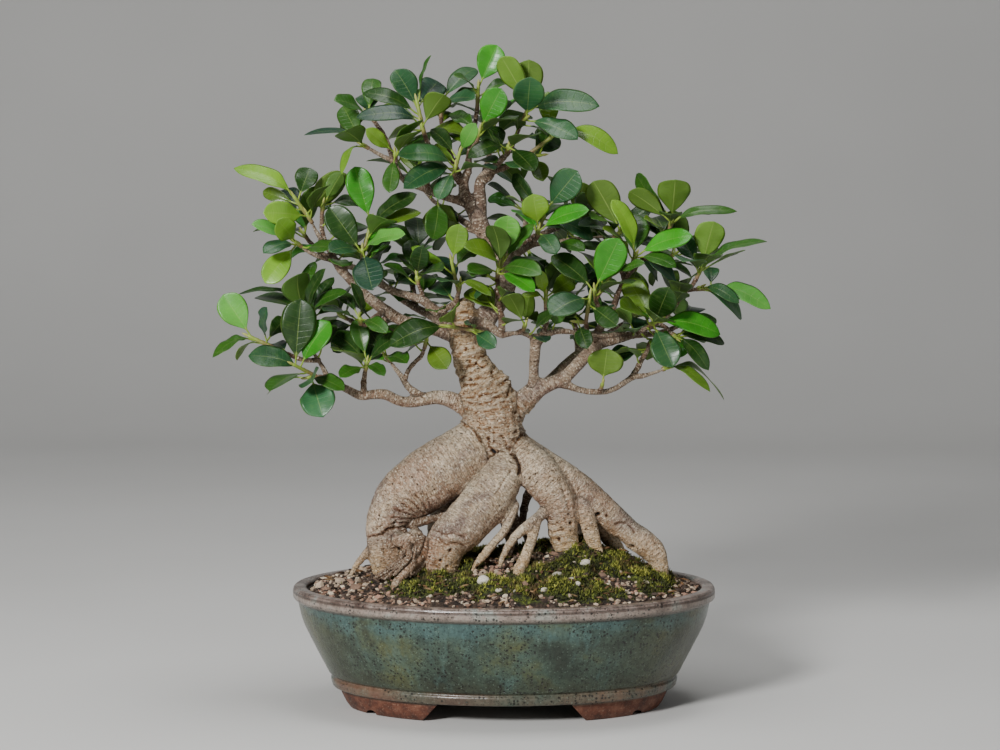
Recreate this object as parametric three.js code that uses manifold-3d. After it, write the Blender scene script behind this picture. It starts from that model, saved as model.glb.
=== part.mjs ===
// Ginseng ficus in an oval glazed pot
// Millimetres, +Z up, front towards -Y, origin on the resting surface under the middle of the pot

import * as THREE from 'three';
import { mergeVertices } from 'three/addons/utils/BufferGeometryUtils.js';
import Module from 'manifold-3d';

const wasm = await Module();
wasm.setup();

// Driving dimensions
const POT_MIDDLE = 7.7;
const GAP = 0.35;
const EYE = { x: -3, distance: 1992.4, z: 406.8 };
const POT = {
  segments: 32, slimmer: 38.6, roundInside: 90,
  under: 14, floor: 22.5, rimTop: 84.7,
  holeRadius: 7, holeX: 42, footGapLow: 57, footGapHigh: 45, sideGapLow: 21, sideGapHigh: 15,
  notchX: 92, notchRadius: 3.5,
};
const MESH = { side: 26, thick: 1.1, hole: 8, pitch: 11 };
const SOIL = {
  half: 137.7, wallGap: 0.55, edge: 80.6, heap: 22, knoll: 17, knollX: 50, knollY: -5, lump: 1.2,
};
const LEAF = { stalk: 6.5, sunk: 0.6, baseHalf: 1.1, baseKeel: 1.3, keel: 0.8, width: 0.57, fold: 0.12 };
const STEM = { sides: 3, spans: 1, radius: 1.5, slimmer: 0.08, tip: 1.05, bud: 5 };
const CLEAR = 1.9;
const ROOM_AT_BASE = 9;
const MAX_LEAF_TRIES = 12;

const COLOURS = {
  glaze: { color: 0x6f8a78, roughness: 0.3, metalness: 0 },
  plastic: { color: 0x25282a, roughness: 0.6, metalness: 0 },
  soil: { color: 0x54452f, roughness: 0.95, metalness: 0 },
  bark: { color: 0xb6a288, roughness: 0.85, metalness: 0 },
  leaf: { color: 0x3f7a2e, roughness: 0.4, metalness: 0 },
};

// Point seen at (x, z) on the front plane through the pot's middle, moved back to its depth
function at(x, z, depth) {
  const scale = 1 + depth / EYE.distance;
  return new THREE.Vector3(EYE.x + scale * (x - EYE.x), depth, EYE.z + scale * (z - EYE.z));
}

// Routes of the wood: x and z on the front plane, depth, radius
const TRUNK = {
  trunk: [[-6, 172, 2, 15], [-8, 188, 1, 22.3], [-8.5, 200, 0, 20.6], [-9.5, 210, 0, 20],
    [-13, 220, 0, 17.8],
    [-17.5, 230, 0, 14.8], [-22.5, 240, 0, 12], [-25, 250, 0, 11.4], [-27, 260, 0, 10.6],
    [-28, 270, 0, 9.6],
    [-28, 279, 0, 8]],
};
const ROOTS = {
  left: [[-6, 192, 0, 13], [-23, 182, -4, 18.5], [-39, 169.5, -8, 21], [-56, 158, -11, 22],
    [-70, 147.5, -13, 20],
    [-80, 136, -14, 16], [-85.5, 125, -14, 12], [-85, 113, -15, 11.4], [-86, 101, -16, 9.4],
    [-87, 91, -17, 5],
    [-87, 84, -17, 3]],
  middle: [[0, 182, -8, 9], [-0.5, 170, -13, 11.5], [-3, 158, -18, 15], [-13, 143, -24, 17],
    [-26, 129, -29, 17],
    [-37, 118, -33, 15.5], [-43, 107, -35, 14], [-45, 98, -36, 12], [-46, 90, -36, 6]],
  right: [[8, 182, -5, 11], [19, 169, -11, 13.4], [29, 156, -15, 14], [37, 145, -17, 12.4],
    [40, 134, -18, 10.8],
    [41, 122, -19, 10], [43, 111, -20, 8.4], [44, 103, -20, 5]],
  farRight: [[5, 184, 0, 12], [22, 171.5, -2, 12], [39, 161, -4, 11.6], [53, 150.5, -5, 12],
    [66, 139.5, -6, 11.4],
    [78, 130, -6, 10], [88, 121.5, -7, 8.8], [97, 115, -8, 9.2], [105, 107.5, -9, 8.2], [109.5, 98, -10, 6],
    [111, 89, -10, 4.2], [111.5, 82, -10, 2.5]],
  besideRight: [[51, 149, -10, 6], [56, 137, -15, 6], [59.5, 126, -17, 5.6], [63, 115, -18, 5.4],
    [65.5, 106, -19, 4.6], [66.5, 98, -19, 2.5]],
  slender: [[6, 140, -20, 5], [4, 131, -27, 3.6], [0.5, 123, -31, 3.4], [-6.5, 114.5, -35, 3.2],
    [-14, 106, -38, 2.9], [-20, 99, -40, 2.4], [-23, 93, -41, 1.6]],
  forked: [[32, 140, -16, 5], [24.5, 132.5, -27, 4.2], [16, 126, -33, 3.8], [8, 118.5, -37, 3.3],
    [2.5, 111, -40, 2.9],
    [-1, 104, -42, 2.6], [-3, 97, -43, 1.8]],
  forkedFront: [[23, 131, -29, 3.8], [20.5, 120, -34, 3.5], [17.5, 111, -39, 3.6], [15, 104, -43, 4],
    [12, 97, -46, 4.6], [8.5, 90, -49, 4.6], [5.5, 83, -51, 3.2], [4, 77, -52, 2]],
  bridge: [[-40, 133, -26, 3], [-50, 131, -24, 2.7], [-60, 128.5, -20, 3.2], [-68, 127, -17, 3]],
  creepLeft: [[-92, 111, -17, 4], [-99, 104.5, -18, 3], [-104, 98, -20, 2.6], [-108, 91, -22, 1.8]],
  creepFront: [[-56, 112, -38, 6.4], [-62, 103, -45, 5], [-70, 93, -51, 3.8], [-77, 84, -55, 3],
    [-80, 77, -57, 2]],
  flaky: [[-79, 120, -18, 5], [-70, 114, -27, 5.4], [-64, 105, -33, 4.6], [-61, 95, -36, 3],
    [-60, 88, -36, 2]],
  backLeft: [[-14, 184, 8, 12], [-26, 167, 24, 13], [-37, 146, 37, 12], [-44, 127, 45, 10],
    [-48, 111, 50, 7.5],
    [-50, 96, 53, 5], [-51, 87, 54, 3]],
  backMiddle: [[-2, 178, 10, 11], [-6, 158, 22, 7], [-3, 143, 27, 5], [2, 129, 30, 5], [5, 115, 31, 4.6],
    [6, 103, 31, 4], [7, 94, 30, 2.5]],
  backRight: [[10, 180, 10, 11], [24, 161, 26, 11], [38, 142, 40, 9.5], [46, 126, 48, 8], [50, 112, 53, 6],
    [52, 99, 56, 4], [53, 90, 57, 2.5]],
  backFar: [[24, 170, 6, 8.5], [46, 150, 20, 8], [63, 132, 30, 7], [76, 115, 38, 6], [83, 101, 43, 4.4],
    [86, 90, 46, 2.8]],
};
const LIMBS = {
  leader: [[-20, 262, 3, 9], [-12, 274, 5, 7.8], [-4, 285, 7, 7], [2, 296, 9, 6.6], [2, 308, 10, 6.4],
    [-3, 318, 10, 6.4], [-10, 327, 9, 6.5], [-16, 336, 8, 6.5], [-18.5, 344, 8, 6.2]],
  forkLeft: [[-19, 340, 8, 5], [-23.5, 350, 8, 4.6], [-27.5, 359, 8, 4.1], [-28.5, 367, 8, 3.8],
    [-26, 373, 8, 3.4], [-24.5, 378, 8, 2.8]],
  forkRight: [[-17, 340, 8, 5], [-16, 350, 8, 4.3], [-17, 360, 9, 4.4], [-16.5, 368, 9, 4.2],
    [-11, 375, 9, 3.2],
    [-4, 380.5, 8, 2.6], [0, 385, 5, 2], [1.5, 387.5, 2, 1.5]],
  cutRight: [[-14, 369, 7, 3.2], [-9.5, 372, 5, 2.8], [-8, 377, 4, 2.4]],
  toRightTop: [[-11, 374, 9, 2.6], [-3, 376, 12, 1.9], [6, 380, 14, 1.6], [13, 384, 16, 1.3]],
  toTopMiddle: [[-4, 380.5, 8, 2.2], [4, 390, 13, 1.9], [8, 399, 14, 1.5], [12, 408, 15, 1.3]],
  toTop: [[-25, 374, 9, 2.4], [-24, 388, 15, 2], [-21, 404, 19, 1.7], [-19, 417, 18, 1.4]],
  toTopFront: [[-25, 375, 7, 2.4], [-25, 384, 4, 1.9], [-21, 392, 1, 1.6], [-19, 396, 0, 1.4]],
  toFarTop: [[-28, 365, 9, 2.4], [-34, 378, 16, 1.9], [-40, 392, 22, 1.7], [-43, 403, 23, 1.6],
    [-44, 412, 21, 1.4]],
  underTop: [[-29, 366, 7, 2.4], [-33, 369, 1, 1.9], [-35, 372, -3, 1.5]],
  topLeft: [[-27, 353, 8, 3.6], [-38, 356, 7, 3.1], [-48, 359, 6, 2.8], [-57, 363, 5, 2.7],
    [-66, 366, 4, 2.6],
    [-72, 371, 3, 2.4], [-77, 381, 2, 2.2], [-86, 386, 2, 2], [-94, 390.5, 1, 1.7]],
  topLeftUp: [[-53, 361, 6, 2.3], [-54, 370, 5, 2], [-53, 380, 4, 1.9], [-52, 390, 3, 1.8],
    [-55, 399, 2, 1.6]],
  topLeftSide: [[-77, 380, 2, 1.9], [-80, 391, 5, 1.7], [-84.5, 401, 8, 1.6], [-90, 409, 9, 1.4]],
  topLeftBud: [[-76, 378, 2, 1.8], [-75.5, 383, -2, 1.5]],
  behindLeader: [[-14, 331, 10, 3], [-20, 333, 18, 2.2], [-24, 334, 22, 1.5]],
  overRight: [[1, 312, 10, 4.4], [10, 318, 10, 2.9], [20, 323.5, 9, 2.4], [34, 325, 13, 2.1],
    [50, 328, 18, 1.9],
    [66, 329, 21, 1.7], [76, 329, 22, 1.4]],
  overRightShoot: [[18, 322.5, 9, 2], [21, 326, 6, 1.7], [22.5, 329, 4, 1.4]],
  shortFront: [[-24, 269, -5, 4], [-17, 269.5, -12, 3.4], [-11, 268, -15, 3.2], [-6, 263.5, -16, 3],
    [-2, 260.5, -16, 2.8], [4, 261.5, -15, 2.3], [12, 262, -12, 2.1], [20, 259, -8, 2.2]],
  thinUp: [[-2, 261, -16, 2.6], [-2, 272, -17, 2.1], [-3.5, 283, -17, 1.8], [-4.5, 293, -16, 1.6],
    [-5, 300, -15, 1.4]],
  frontPair: [[9, 262, -13, 1.9], [13, 264, -16, 1.4]],
  lowRight: [[0, 205, 0, 11], [9, 210, -1, 9.3], [17, 217.5, -2, 7.8], [25, 223.5, -2, 6.5],
    [34, 227, -2, 5.4],
    [43, 231.5, -2, 5], [51, 239.5, -1, 4.8], [59, 248, 0, 4.6], [66, 253.5, 1, 4], [75, 256, 2, 3.3],
    [85, 258.5, 3, 2.7], [94, 262, 3, 2.2], [98.5, 265, -1, 1.9],
    [100.5, 267, -5, 1.5]],
  upright: [[19, 220, -3, 5], [20.5, 230, -4, 4], [20.8, 240, -5, 3.8], [21.5, 250, -6, 3.9],
    [22, 258, -7, 4.3]],
  rightArm: [[22, 255, -7, 3.6], [30, 261, -7, 2.9], [38, 263.5, -6, 2.5], [48, 262.5, -5, 2.2],
    [60, 261, -3, 2],
    [70, 260.6, -1, 1.9], [80, 261.5, 1, 1.8], [92, 262, 3, 1.8]],
  armBud: [[25, 259, -7, 2.2], [28, 264, -8, 1.9], [29.5, 270, -9, 1.7], [29, 280, -10, 1.4]],
  armUp: [[58, 261, -4, 1.8], [57.5, 266, -8, 1.6], [57, 269, -11, 1.4]],
  padUp: [[62, 252, 1, 3.2], [65, 262, 3, 2.9], [69, 268, 4, 2.7], [73.5, 274, 6, 2.5], [77, 282, 8, 2.2],
    [80, 291, 9, 2], [85, 301, 9, 1.8], [89, 310, 6, 1.5]],
  padUpLeft: [[71, 270, 5, 2], [67, 277, 0, 1.8], [64, 285, -4, 1.5]],
  rightHigh: [[84, 300, 9, 1.9], [94, 311, 15, 1.8], [104, 318, 19, 1.7], [112, 326, 19, 1.6],
    [115, 334, 17, 1.4]],
  rightFar: [[90, 260.7, 3, 2.2], [99, 265, 5, 2], [108, 269.5, 5, 1.8], [114, 275, 4, 1.8],
    [120, 282, 5, 1.7], [124, 289, 6, 1.7],
    [130, 293.5, 6, 1.6], [134, 300, 5, 1.4]],
  rightFarSide: [[128, 292, 6, 1.5], [134, 292.5, 9, 1.3]],
  rightFarBud: [[108, 269, 3, 1.6], [114, 265, 4, 1.4], [117, 262, 3, 1.3]],
  thinLow: [[38, 227, -2, 3.4], [46, 224.5, -4, 2.8], [53, 222, -6, 2.5], [62, 220.7, -7, 2.4],
    [70, 220.7, -8, 2.4],
    [77, 222.7, -8, 2.3], [84, 227, -8, 2.3], [90, 231, -8, 2.4], [98, 232, -8, 2], [106, 234.5, -8, 1.7],
    [110, 236, -8, 1.4]],
  thinLowBud: [[67, 220.7, -8, 2.2], [67.5, 222, -11, 1.8], [68, 223.5, -14, 1.5]],
  thinLowUp: [[89, 230.5, -8, 2.2], [93, 237, -4, 2], [96, 243, 0, 1.8], [99.5, 248.5, 4, 1.6],
    [101, 253, 7, 1.4]],
  highLeft: [[-32, 266, 0, 6.3], [-38, 270, -1, 4.9], [-44, 275, -2, 3.9], [-51, 280, -3, 3.5],
    [-57, 285, -3, 3.3],
    [-66, 288, -3, 3], [-76, 291, -3, 2.9], [-86, 296, -3, 2.7], [-96, 303.5, -2, 2.7],
    [-107, 308.5, -1, 2.6],
    [-120, 313, 0, 2.5], [-129, 315.5, -1, 2.3], [-137, 319, -3, 2], [-141, 322, -4, 1.5]],
  highLeftUp: [[-96, 303.5, -2, 2], [-98, 309, -5, 1.7], [-99, 314, -7, 1.4]],
  crownTwig: [[-47, 277, -2, 2.4], [-40, 279.5, -4, 2.2], [-34, 284, -6, 2], [-32, 290, -7, 1.5]],
  highLeftBud: [[-57, 286, -3, 1.9], [-58, 291, -4, 1.5], [-60, 296, -5, 1.3]],
  longLeft: [[-34, 260, 3, 6], [-46, 264, 4, 4.8], [-60, 267.5, 5, 4.6], [-71, 270.5, 5, 4.5],
    [-82, 277, 5, 4.4],
    [-92, 284.5, 5, 4.1], [-101, 292, 4, 3.8], [-109, 301, 3, 3.4], [-115, 307, 3, 3], [-120, 317, 5, 2.5],
    [-125, 324, 6, 2.3], [-130, 331, 6, 2], [-134, 339, 5, 1.5]],
  longLeftRight: [[-124, 322.5, 6, 1.8], [-127, 334, 10, 1.6], [-127, 345, 9, 1.4]],
  longLeftFront: [[-84, 278, 4, 2.4], [-91, 272, -8, 2], [-97, 268, -14, 1.7], [-100, 268, -17, 1.4]],
  frontShield: [[-28, 263, -8, 2], [-29, 264, -13, 1.6], [-29.5, 265, -16, 1.4]],
  lowLeft: [[-20, 205, 0, 9], [-31, 212, -1, 6.2], [-40, 216, -3, 5.7], [-49, 216.7, -5, 5.1],
    [-58, 215, -7, 4.7],
    [-68, 213.3, -8, 4.2], [-76, 215.3, -9, 4.1], [-84, 219, -9, 4.1], [-93, 218.7, -9, 3.7],
    [-101, 218, -9, 3.4],
    [-108, 221.5, -9, 3.1], [-116, 225.5, -9, 2.8], [-123, 230, -8, 2.5], [-127, 238, -7, 2.2],
    [-131, 244, -6, 2], [-134.5, 251, -5, 1.8], [-136.5, 260, -4, 1.6], [-136, 268, -3, 1.4]],
  lowLeftUp: [[-55, 216, -7, 3.4], [-62, 220, -8, 3], [-68, 225, -8, 2.7], [-72, 231.5, -8, 2.3],
    [-77, 238, -9, 1.8], [-80, 242, -9, 1.4]],
  lowLeftBud: [[-70, 228.5, -8, 1.9], [-67, 236, -9, 1.6], [-62, 242, -10, 1.5], [-58, 246, -11, 1.4],
    [-56, 251, -12, 1.2]],
  lowLeftTwig: [[-98, 219, -9, 2.4], [-98.5, 226, -10, 2], [-97.5, 234, -11, 1.6]],
  farLeft: [[-130, 243, -6, 1.8], [-140, 243, -9, 1.6], [-151, 247, -11, 1.5], [-162, 252, -12, 1.3]],
  leftHang: [[-123, 230.5, -8, 1.9], [-131, 231.5, -11, 1.5]],
  backLeftHigh: [[-24, 262, 5, 5], [-38, 268, 22, 4], [-55, 276, 37, 3.4], [-72, 286, 47, 2.8],
    [-86, 298, 54, 2.2],
    [-94, 309, 56, 1.6]],
  backLeftMid: [[-62, 280, 42, 2.4], [-64, 296, 47, 2], [-62, 310, 49, 1.5]],
  backLeftLow: [[-76, 273, 6, 3], [-88, 270, 24, 2.5], [-100, 268, 40, 2], [-108, 271, 50, 1.5]],
  backLeftFar: [[-118, 313, 2, 2], [-128, 318, 20, 1.8], [-136, 326, 34, 1.5]],
  backRightLow: [[18, 216, 2, 6], [32, 229, 20, 4.2], [46, 243, 34, 3.4], [60, 254, 46, 2.8],
    [74, 263, 54, 2.2],
    [84, 270, 57, 1.6]],
  backRightMid: [[52, 249, 40, 2.4], [50, 264, 50, 2], [46, 277, 54, 1.5]],
  backRightFar: [[88, 260, 3, 2.2], [108, 262, 22, 1.9], [120, 266, 36, 1.5]],
  backUp: [[2, 300, 12, 5], [6, 313, 27, 3.6], [12, 327, 39, 2.9], [15, 341, 47, 2.3], [13, 354, 50, 1.6]],
  backUpRight: [[11, 324, 37, 2.6], [26, 331, 49, 2.1], [42, 337, 56, 1.6]],
  backUpLeft: [[-8, 325, 12, 4.6], [-21, 335, 28, 3.2], [-35, 344, 40, 2.6], [-49, 354, 47, 2.1],
    [-58, 364, 50, 1.5]],
  backTop: [[-17, 358, 11, 3.4], [-14, 373, 26, 2.5], [-10, 388, 37, 2], [-8, 399, 42, 1.5]],
  backPad: [[84, 300, 10, 2], [80, 310, 28, 1.8], [76, 318, 42, 1.5]],
  backPadRight: [[96, 313, 17, 1.8], [106, 312, 34, 1.7], [114, 314, 46, 1.4]],
};
const WOOD_ROUTES = [TRUNK, ROOTS, LIMBS].flatMap((group) => Object.values(group));
const ALONG = { swollen: 20, thick: 18, slim: 24 };

// Callused lumps on the wood: x, z on the front plane, depth, half sizes
const LUMPS = [
  { x: -3.5, z: 225, depth: -2, half: [8.2, 9, 11] },
  { x: -4.5, z: 184, depth: -19.5, half: [3, 3, 5] },
  { x: -28, z: 277, depth: 0, half: [9.4, 8, 4.5] },
];

// Directions that a leaf's upper side can face
const FACES = {
  up: [0, -0.35, 1],
  half: [0, -1, 1],
  front: [0, -1, 0.2],
  left: [-1, -0.3, 0.3],
  back: [0, 1, 0.5],
  turnedLeft: [-1, -1, 0.4],
  turnedRight: [1, -1, 0.4],
};

// Leafy shoots by the limb that carries them. A shoot has its tip's x, z and depth and the number
// of leaves that the rule adds; a leaf has its tip's x and z, its reach (negative towards the front),
// the side that it faces, its relative width and how far it arches
const SPRAYS = {
  lowLeft: [
    [-135, 275, -4, 2, [[-113, 278, 36, 'half', 0.6, 0.36], [-119, 301, 34, 'half', 0.6, 0.54],
      [-110, 291, -38, 'half', 0.7, 0.63], [-125, 307, -38, 'half', 0.55, 0.54]]],
    [-146, 285, -2, 2, [[-132, 312, 38, 'half', 0.55, 0.54], [-186, 289, 40, 'up', 0.55, 0.9]]],
  ],
  farLeft: [
    [-179, 260, -13, 0, [[-187, 243, 32, 'up', 0.6, 0.54], [-204, 245, -36, 'up', 0.85, 0.72],
      [-196, 289, -32, 'front', 1.2, 0.05]]],
    [-168, 255, -12, 2, [[-166, 280, -32, 'turnedLeft', 0.8, 0.16], [-153, 272, 34, 'front', 0.8, 0.16]]],
  ],
  leftHang: [
    [-138, 230.5, -14, 1, [[-127, 203, -36, 'front', 1.45, 0.19], [-166, 219, 34, 'up', 0.55, 0.54],
      [-112, 222, -34, 'half', 0.8, 0.3]]],
    [-148, 240, -22, 1, [[-179, 246, -36, 'half', 1.05, 0.4], [-122, 270, -38, 'half', 1.15, 0.2],
      [-142, 286, 46, 'front', 1.05, 0.16]]],
  ],
  highLeft: [
    [-146, 326, -7, 1, [[-168, 318, -34, 'half', 0.85, 0.3], [-167, 297, -38, 'front', 0.95, 0.08],
      [-176, 338, -36, 'half', 0.75, 0.25], [-158, 341, -34, 'front', 1, 0.16]]],
  ],
  longLeft: [
    [-138, 346, 3, 1, [[-168, 346, -36, 'front', 0.95, 0.16], [-110, 373, 44, 'back', 0.9, 0.24]]],
    [-147, 358, 0, 1, [[-157, 344, 34, 'half', 1.1, 0.16], [-168, 361, 30, 'front', 0.7, 0.16],
      [-135, 377, 32, 'front', 1.25, 0.16], [-188, 377, -42, 'half', 0.8, 0.9]]],
  ],
  longLeftRight: [[-126, 352, 8, 3, [[-113, 374, 34, 'back', 1, 0.16], [-97, 352, 34, 'half', 0.9, 0.36]]]],
  highLeftUp: [
    [-99, 321, -10, 1, [[-122, 350, -38, 'front', 1.05, 0.16], [-122, 319, -36, 'half', 1, 0.24],
      [-69, 331, -38, 'half', 0.8, 0.45], [-92, 292, -38, 'front', 1.2, 0.19]]],
    [-92.5, 341, -2, 2, [[-58, 346, -38, 'half', 0.7, 0.54], [-61, 359, 38, 'half', 0.8, 0.54],
      [-104, 378, -38, 'front', 0.95, 0.06]]],
  ],
  longLeftFront: [[-101, 273, -20, 3, [[-117, 291, 34, 'half', 0.7, 0.72],
    [-82, 262, -30, 'half', 0.9, 0.36],
    [-107, 297, -32, 'half', 0.6, 0.54]]]],
  lowLeftTwig: [
    [-96, 242, -13, 2, [[-115, 231, -30, 'half', 0.85, 0.24], [-84, 232, -30, 'half', 0.7, 0.36],
      [-72, 261, -36, 'half', 0.8, 0.36], [-120, 262, 36, 'half', 1, 0.36],
      [-103, 272, 34, 'front', 0.9, 0.16]]],
  ],
  lowLeftUp: [[-84, 247, -10, 3, [[-68, 241, -34, 'half', 0.8, 0.16]]]],
  lowLeftBud: [[-54, 258, -13, 2, [[-40, 237, -32, 'front', 1.1, 0.16],
    [-70, 246, 34, 'half', 0.8, 0.16]]]],
  frontShield: [
    [-41, 267, -21, 1, [[-80, 253, -46, 'half', 1, 0.45]]],
    [-17, 263, -22, 0, [[-6, 252, -26, 'front', 1, 0.16], [-27, 268, -24, 'half', 0.8, 0.16]]],
  ],
  crownTwig: [
    [-31, 297, -9, 2, [[-44, 298, -32, 'up', 1.05, 0.16], [-22, 303, 34, 'half', 0.9, 0.16],
      [-9, 288, -34, 'half', 0.6, 0.72]]],
    [-37, 313, -11, 1, [[-65, 322, -36, 'half', 0.5, 0.08], [-21, 322, 34, 'half', 0.9, 0.16],
      [-31, 338, -30, 'front', 1.1, 0.08]]],
  ],
  highLeftBud: [
    [-61, 302, -6, 2, [[-43, 306, -32, 'half', 0.8, 0.16], [-66, 327, 32, 'front', 0.9, 0.16],
      [-57, 323, -34, 'front', 0.8, 0.16]]],
  ],
  thinUp: [
    [-4, 308, -15, 1, [[21, 291, -38, 'half', 0.8, 0.36], [-25, 305, -34, 'half', 0.9, 0.16],
      [26, 303, -40, 'half', 0.9, 0.45], [-28, 322, -38, 'half', 1.3, 0.72]]],
    [0, 316, -8, 1, [[20, 338, 32, 'half', 0.6, 0.16], [3, 344, -31, 'front', 1.25, 0.05]]],
  ],
  frontPair: [[15, 269, -19, 1, [[3, 289, -34, 'back', 0.9, 0.16], [18, 291, 34, 'back', 0.85, 0.24]]]],
  armBud: [
    [29, 289, -12, 1, [[11, 287, -32, 'half', 0.6, 0.63], [24, 306, -30, 'front', 0.8, 0.16],
      [47, 299, 34, 'front', 0.9, 0.16], [41, 310, 34, 'back', 0.9, 0.16]]],
  ],
  armUp: [
    [60, 289, -13, 1, [[79, 267, -34, 'front', 0.95, 0.16], [32, 275, -40, 'half', 1.25, 0.36]]],
    [50, 270, -15, 1, [[58, 251, -30, 'front', 0.9, 0.16]]],
  ],
  padUpLeft: [
    [63, 293, -7, 1, [[76, 300, 30, 'half', 0.8, 0.16], [33, 316, 40, 'half', 1, 0.36],
      [80, 328, -42, 'front', 1.05, 0.06]]],
    [77, 306, -8, 1, [[98, 311, -30, 'half', 0.7, 0.16]]],
  ],
  overRightShoot: [
    [24, 335, 2, 1, [[36, 317, -32, 'half', 1, 0.36], [59, 348, -40, 'half', 0.9, 0.36],
      [20, 359, -28, 'front', 1.5, 0.16]]],
    [29, 349, 8, 2, [[62, 328, 42, 'half', 0.9, 0.36], [6, 373, 38, 'turnedLeft', 0.6, 0.08],
      [51, 375, -38, 'front', 1.15, 0.06]]],
  ],
  overRight: [
    [82, 333, 18, 3, [[56, 338, 34, 'half', 0.6, 0.16], [101, 350, 34, 'half', 0.8, 0.16],
      [73, 348, 32, 'half', 0.8, 0.16], [62, 368, -42, 'back', 1.1, 0.06]]],
  ],
  padUp: [[92, 317, 1, 3, [[107, 299, 34, 'half', 1, 0.36], [120, 308, -34, 'half', 0.8, 0.36],
    [131, 330, -42, 'half', 0.9, 0.3],
    [75, 355, -42, 'turnedRight', 0.9, 0.24]]]],
  rightHigh: [
    [117, 342, 15, 1, [[162, 347, -47, 'half', 0.5, 0.9], [144, 345, 34, 'half', 0.5, 0.9],
      [87, 361, -38, 'back', 0.8, 0.16], [119, 369, -32, 'back', 1.3, 0.06],
      [92, 373, 47, 'left', 0.6, 0.08]]],
  ],
  rightFar: [
    [138, 309, 3, 2, [[168, 320, 36, 'left', 0.5, 0.08], [183, 326, 50, 'up', 0.6, 0.5],
      [122, 330, 32, 'front', 1, 0.16], [146, 340, -34, 'back', 1.3, 0.06]]],
  ],
  rightFarSide: [
    [148, 293, 12, 2, [[144, 308, 28, 'front', 0.9, 0.16], [186, 279, -44, 'half', 0.95, 0.81]]],
    [137, 294, 8, 1, [[166, 272, 42, 'half', 0.8, 0.54], [164, 283, -34, 'half', 0.85, 0.72]]],
  ],
  lowRight: [
    [106, 270, -11, 2, [[118, 238, -38, 'front', 1.1, 0.19], [86, 300, 40, 'front', 1, 0.16],
      [115, 294, -36, 'front', 1.1, 0.16], [151, 261, -44, 'half', 0.95, 0.45]]],
  ],
  rightFarBud: [[120, 259, 2, 2, [[143, 236, -36, 'half', 0.9, 0.72], [154, 255, 38, 'half', 0.7, 0.24],
    [148, 272, 34, 'half', 0.9, 0.36]]]],
  thinLow: [[113, 237.5, -8, 1, [[144, 221, -40, 'up', 0.8, 0.9], [154, 215, 52, 'up', 0.7, 0.9]]]],
  thinLowBud: [[69, 227, -18, 0, [[72, 251, -26, 'front', 2.1, 0.16]]]],
  thinLowUp: [[102, 256, 12, 3, []]],
  topLeft: [
    [-100, 394, 0, 1, [[-113, 373, -34, 'turnedLeft', 0.7, 0.9], [-112, 420, 34, 'front', 0.95, 0.16],
      [-139, 400, -40, 'up', 0.75, 0.81]]],
  ],
  topLeftSide: [
    [-95, 415, 8, 1, [[-114, 404, 32, 'front', 0.9, 0.16], [-118, 424, -34, 'half', 1, 0.19],
      [-91, 439, 36, 'half', 0.8, 0.16]]],
  ],
  topLeftBud: [[-76, 388, -5, 2, [[-80, 360, -32, 'half', 0.8, 0.16],
    [-96, 404, -32, 'front', 0.7, 0.16]]]],
  topLeftUp: [
    [-58, 408, 0, 1, [[-81, 397, 34, 'half', 0.9, 0.19], [-42, 428, -34, 'back', 1.15, 0.16],
      [-103, 412, -48, 'half', 0.8, 0.81]]],
    [-61, 424, 2, 1, [[-87, 419, 36, 'half', 0.7, 0.16], [-98, 429, -40, 'half', 0.7, 0.4],
      [-76, 445, 34, 'half', 1.2, 0.16], [-46, 437, 34, 'front', 1.2, 0.16],
      [-51, 455, -34, 'left', 0.5, 0.05]]],
  ],
  toFarTop: [
    [-44, 424, 20, 1, [[-66, 430, 30, 'half', 0.8, 0.16], [-20, 425, -36, 'half', 0.9, 0.36],
      [-18, 431, 34, 'half', 0.6, 0.16], [-20, 446, 38, 'half', 0.7, 0.36]]],
  ],
  underTop: [
    [-34, 379, -6, 1, [[-46, 355, -34, 'half', 0.8, 0.19], [-70, 363, -42, 'half', 1, 0.54],
      [-74, 386, -46, 'half', 0.9, 0.54]]],
    [-31, 388, -8, 1, [[-50, 390, 32, 'back', 0.9, 0.16], [-51, 404, 32, 'half', 1, 0.19],
      [-20, 408, -32, 'front', 0.75, 0.08]]],
  ],
  toTopFront: [[-17, 404, -3, 2, [[-37, 415, 34, 'half', 0.8, 0.16], [-2, 432, -34, 'front', 1.15, 0.05]]]],
  toTop: [
    [-18, 434, 13, 1, [[3, 437, 34, 'half', 0.6, 0.16], [-35, 441, -32, 'half', 0.6, 0.16],
      [-5, 462, -31, 'front', 1.25, 0.05]]],
  ],
  toTopMiddle: [
    [16, 412, 3, 1, [[51, 397, -42, 'half', 0.85, 0.24], [18, 440, -38, 'front', 1.15, 0.05]]],
    [18, 422, 14, 1, [[66, 420, -52, 'half', 0.95, 0.63], [17, 452, 32, 'back', 1.3, 0.16],
      [-2, 454, -36, 'back', 0.85, 0.06]]],
  ],
  forkRight: [[3, 393, -2, 1, [[-25, 384, -36, 'half', 0.85, 0.54], [21, 375, -34, 'half', 1, 0.19]]]],
  toRightTop: [
    [26, 386, 16, 1, [[27, 368, -30, 'front', 0.9, 0.16], [34, 412, 34, 'front', 0.9, 0.16]]],
    [43, 406, 16, 1, [[30, 430, 34, 'front', 0.9, 0.16], [79, 387, -44, 'half', 0.9, 0.63]]],
  ],
  behindLeader: [[-28, 334, 24, 3, [[-45, 350, 34, 'half', 0.8, 0.16]]]],
  backLeftHigh: [[-98, 316, 58, 5, []]],
  backLeftMid: [[-60, 319, 50, 4, [[-46, 328, -32, 'half', 0.8, 0.16]]]],
  backLeftLow: [[-114, 274, 56, 5, []]],
  backLeftFar: [[-141, 333, 40, 4, []]],
  backRightLow: [[92, 276, 60, 5, []]],
  backRightMid: [[44, 286, 57, 5, []]],
  backRightFar: [[127, 271, 42, 4, []]],
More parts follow.
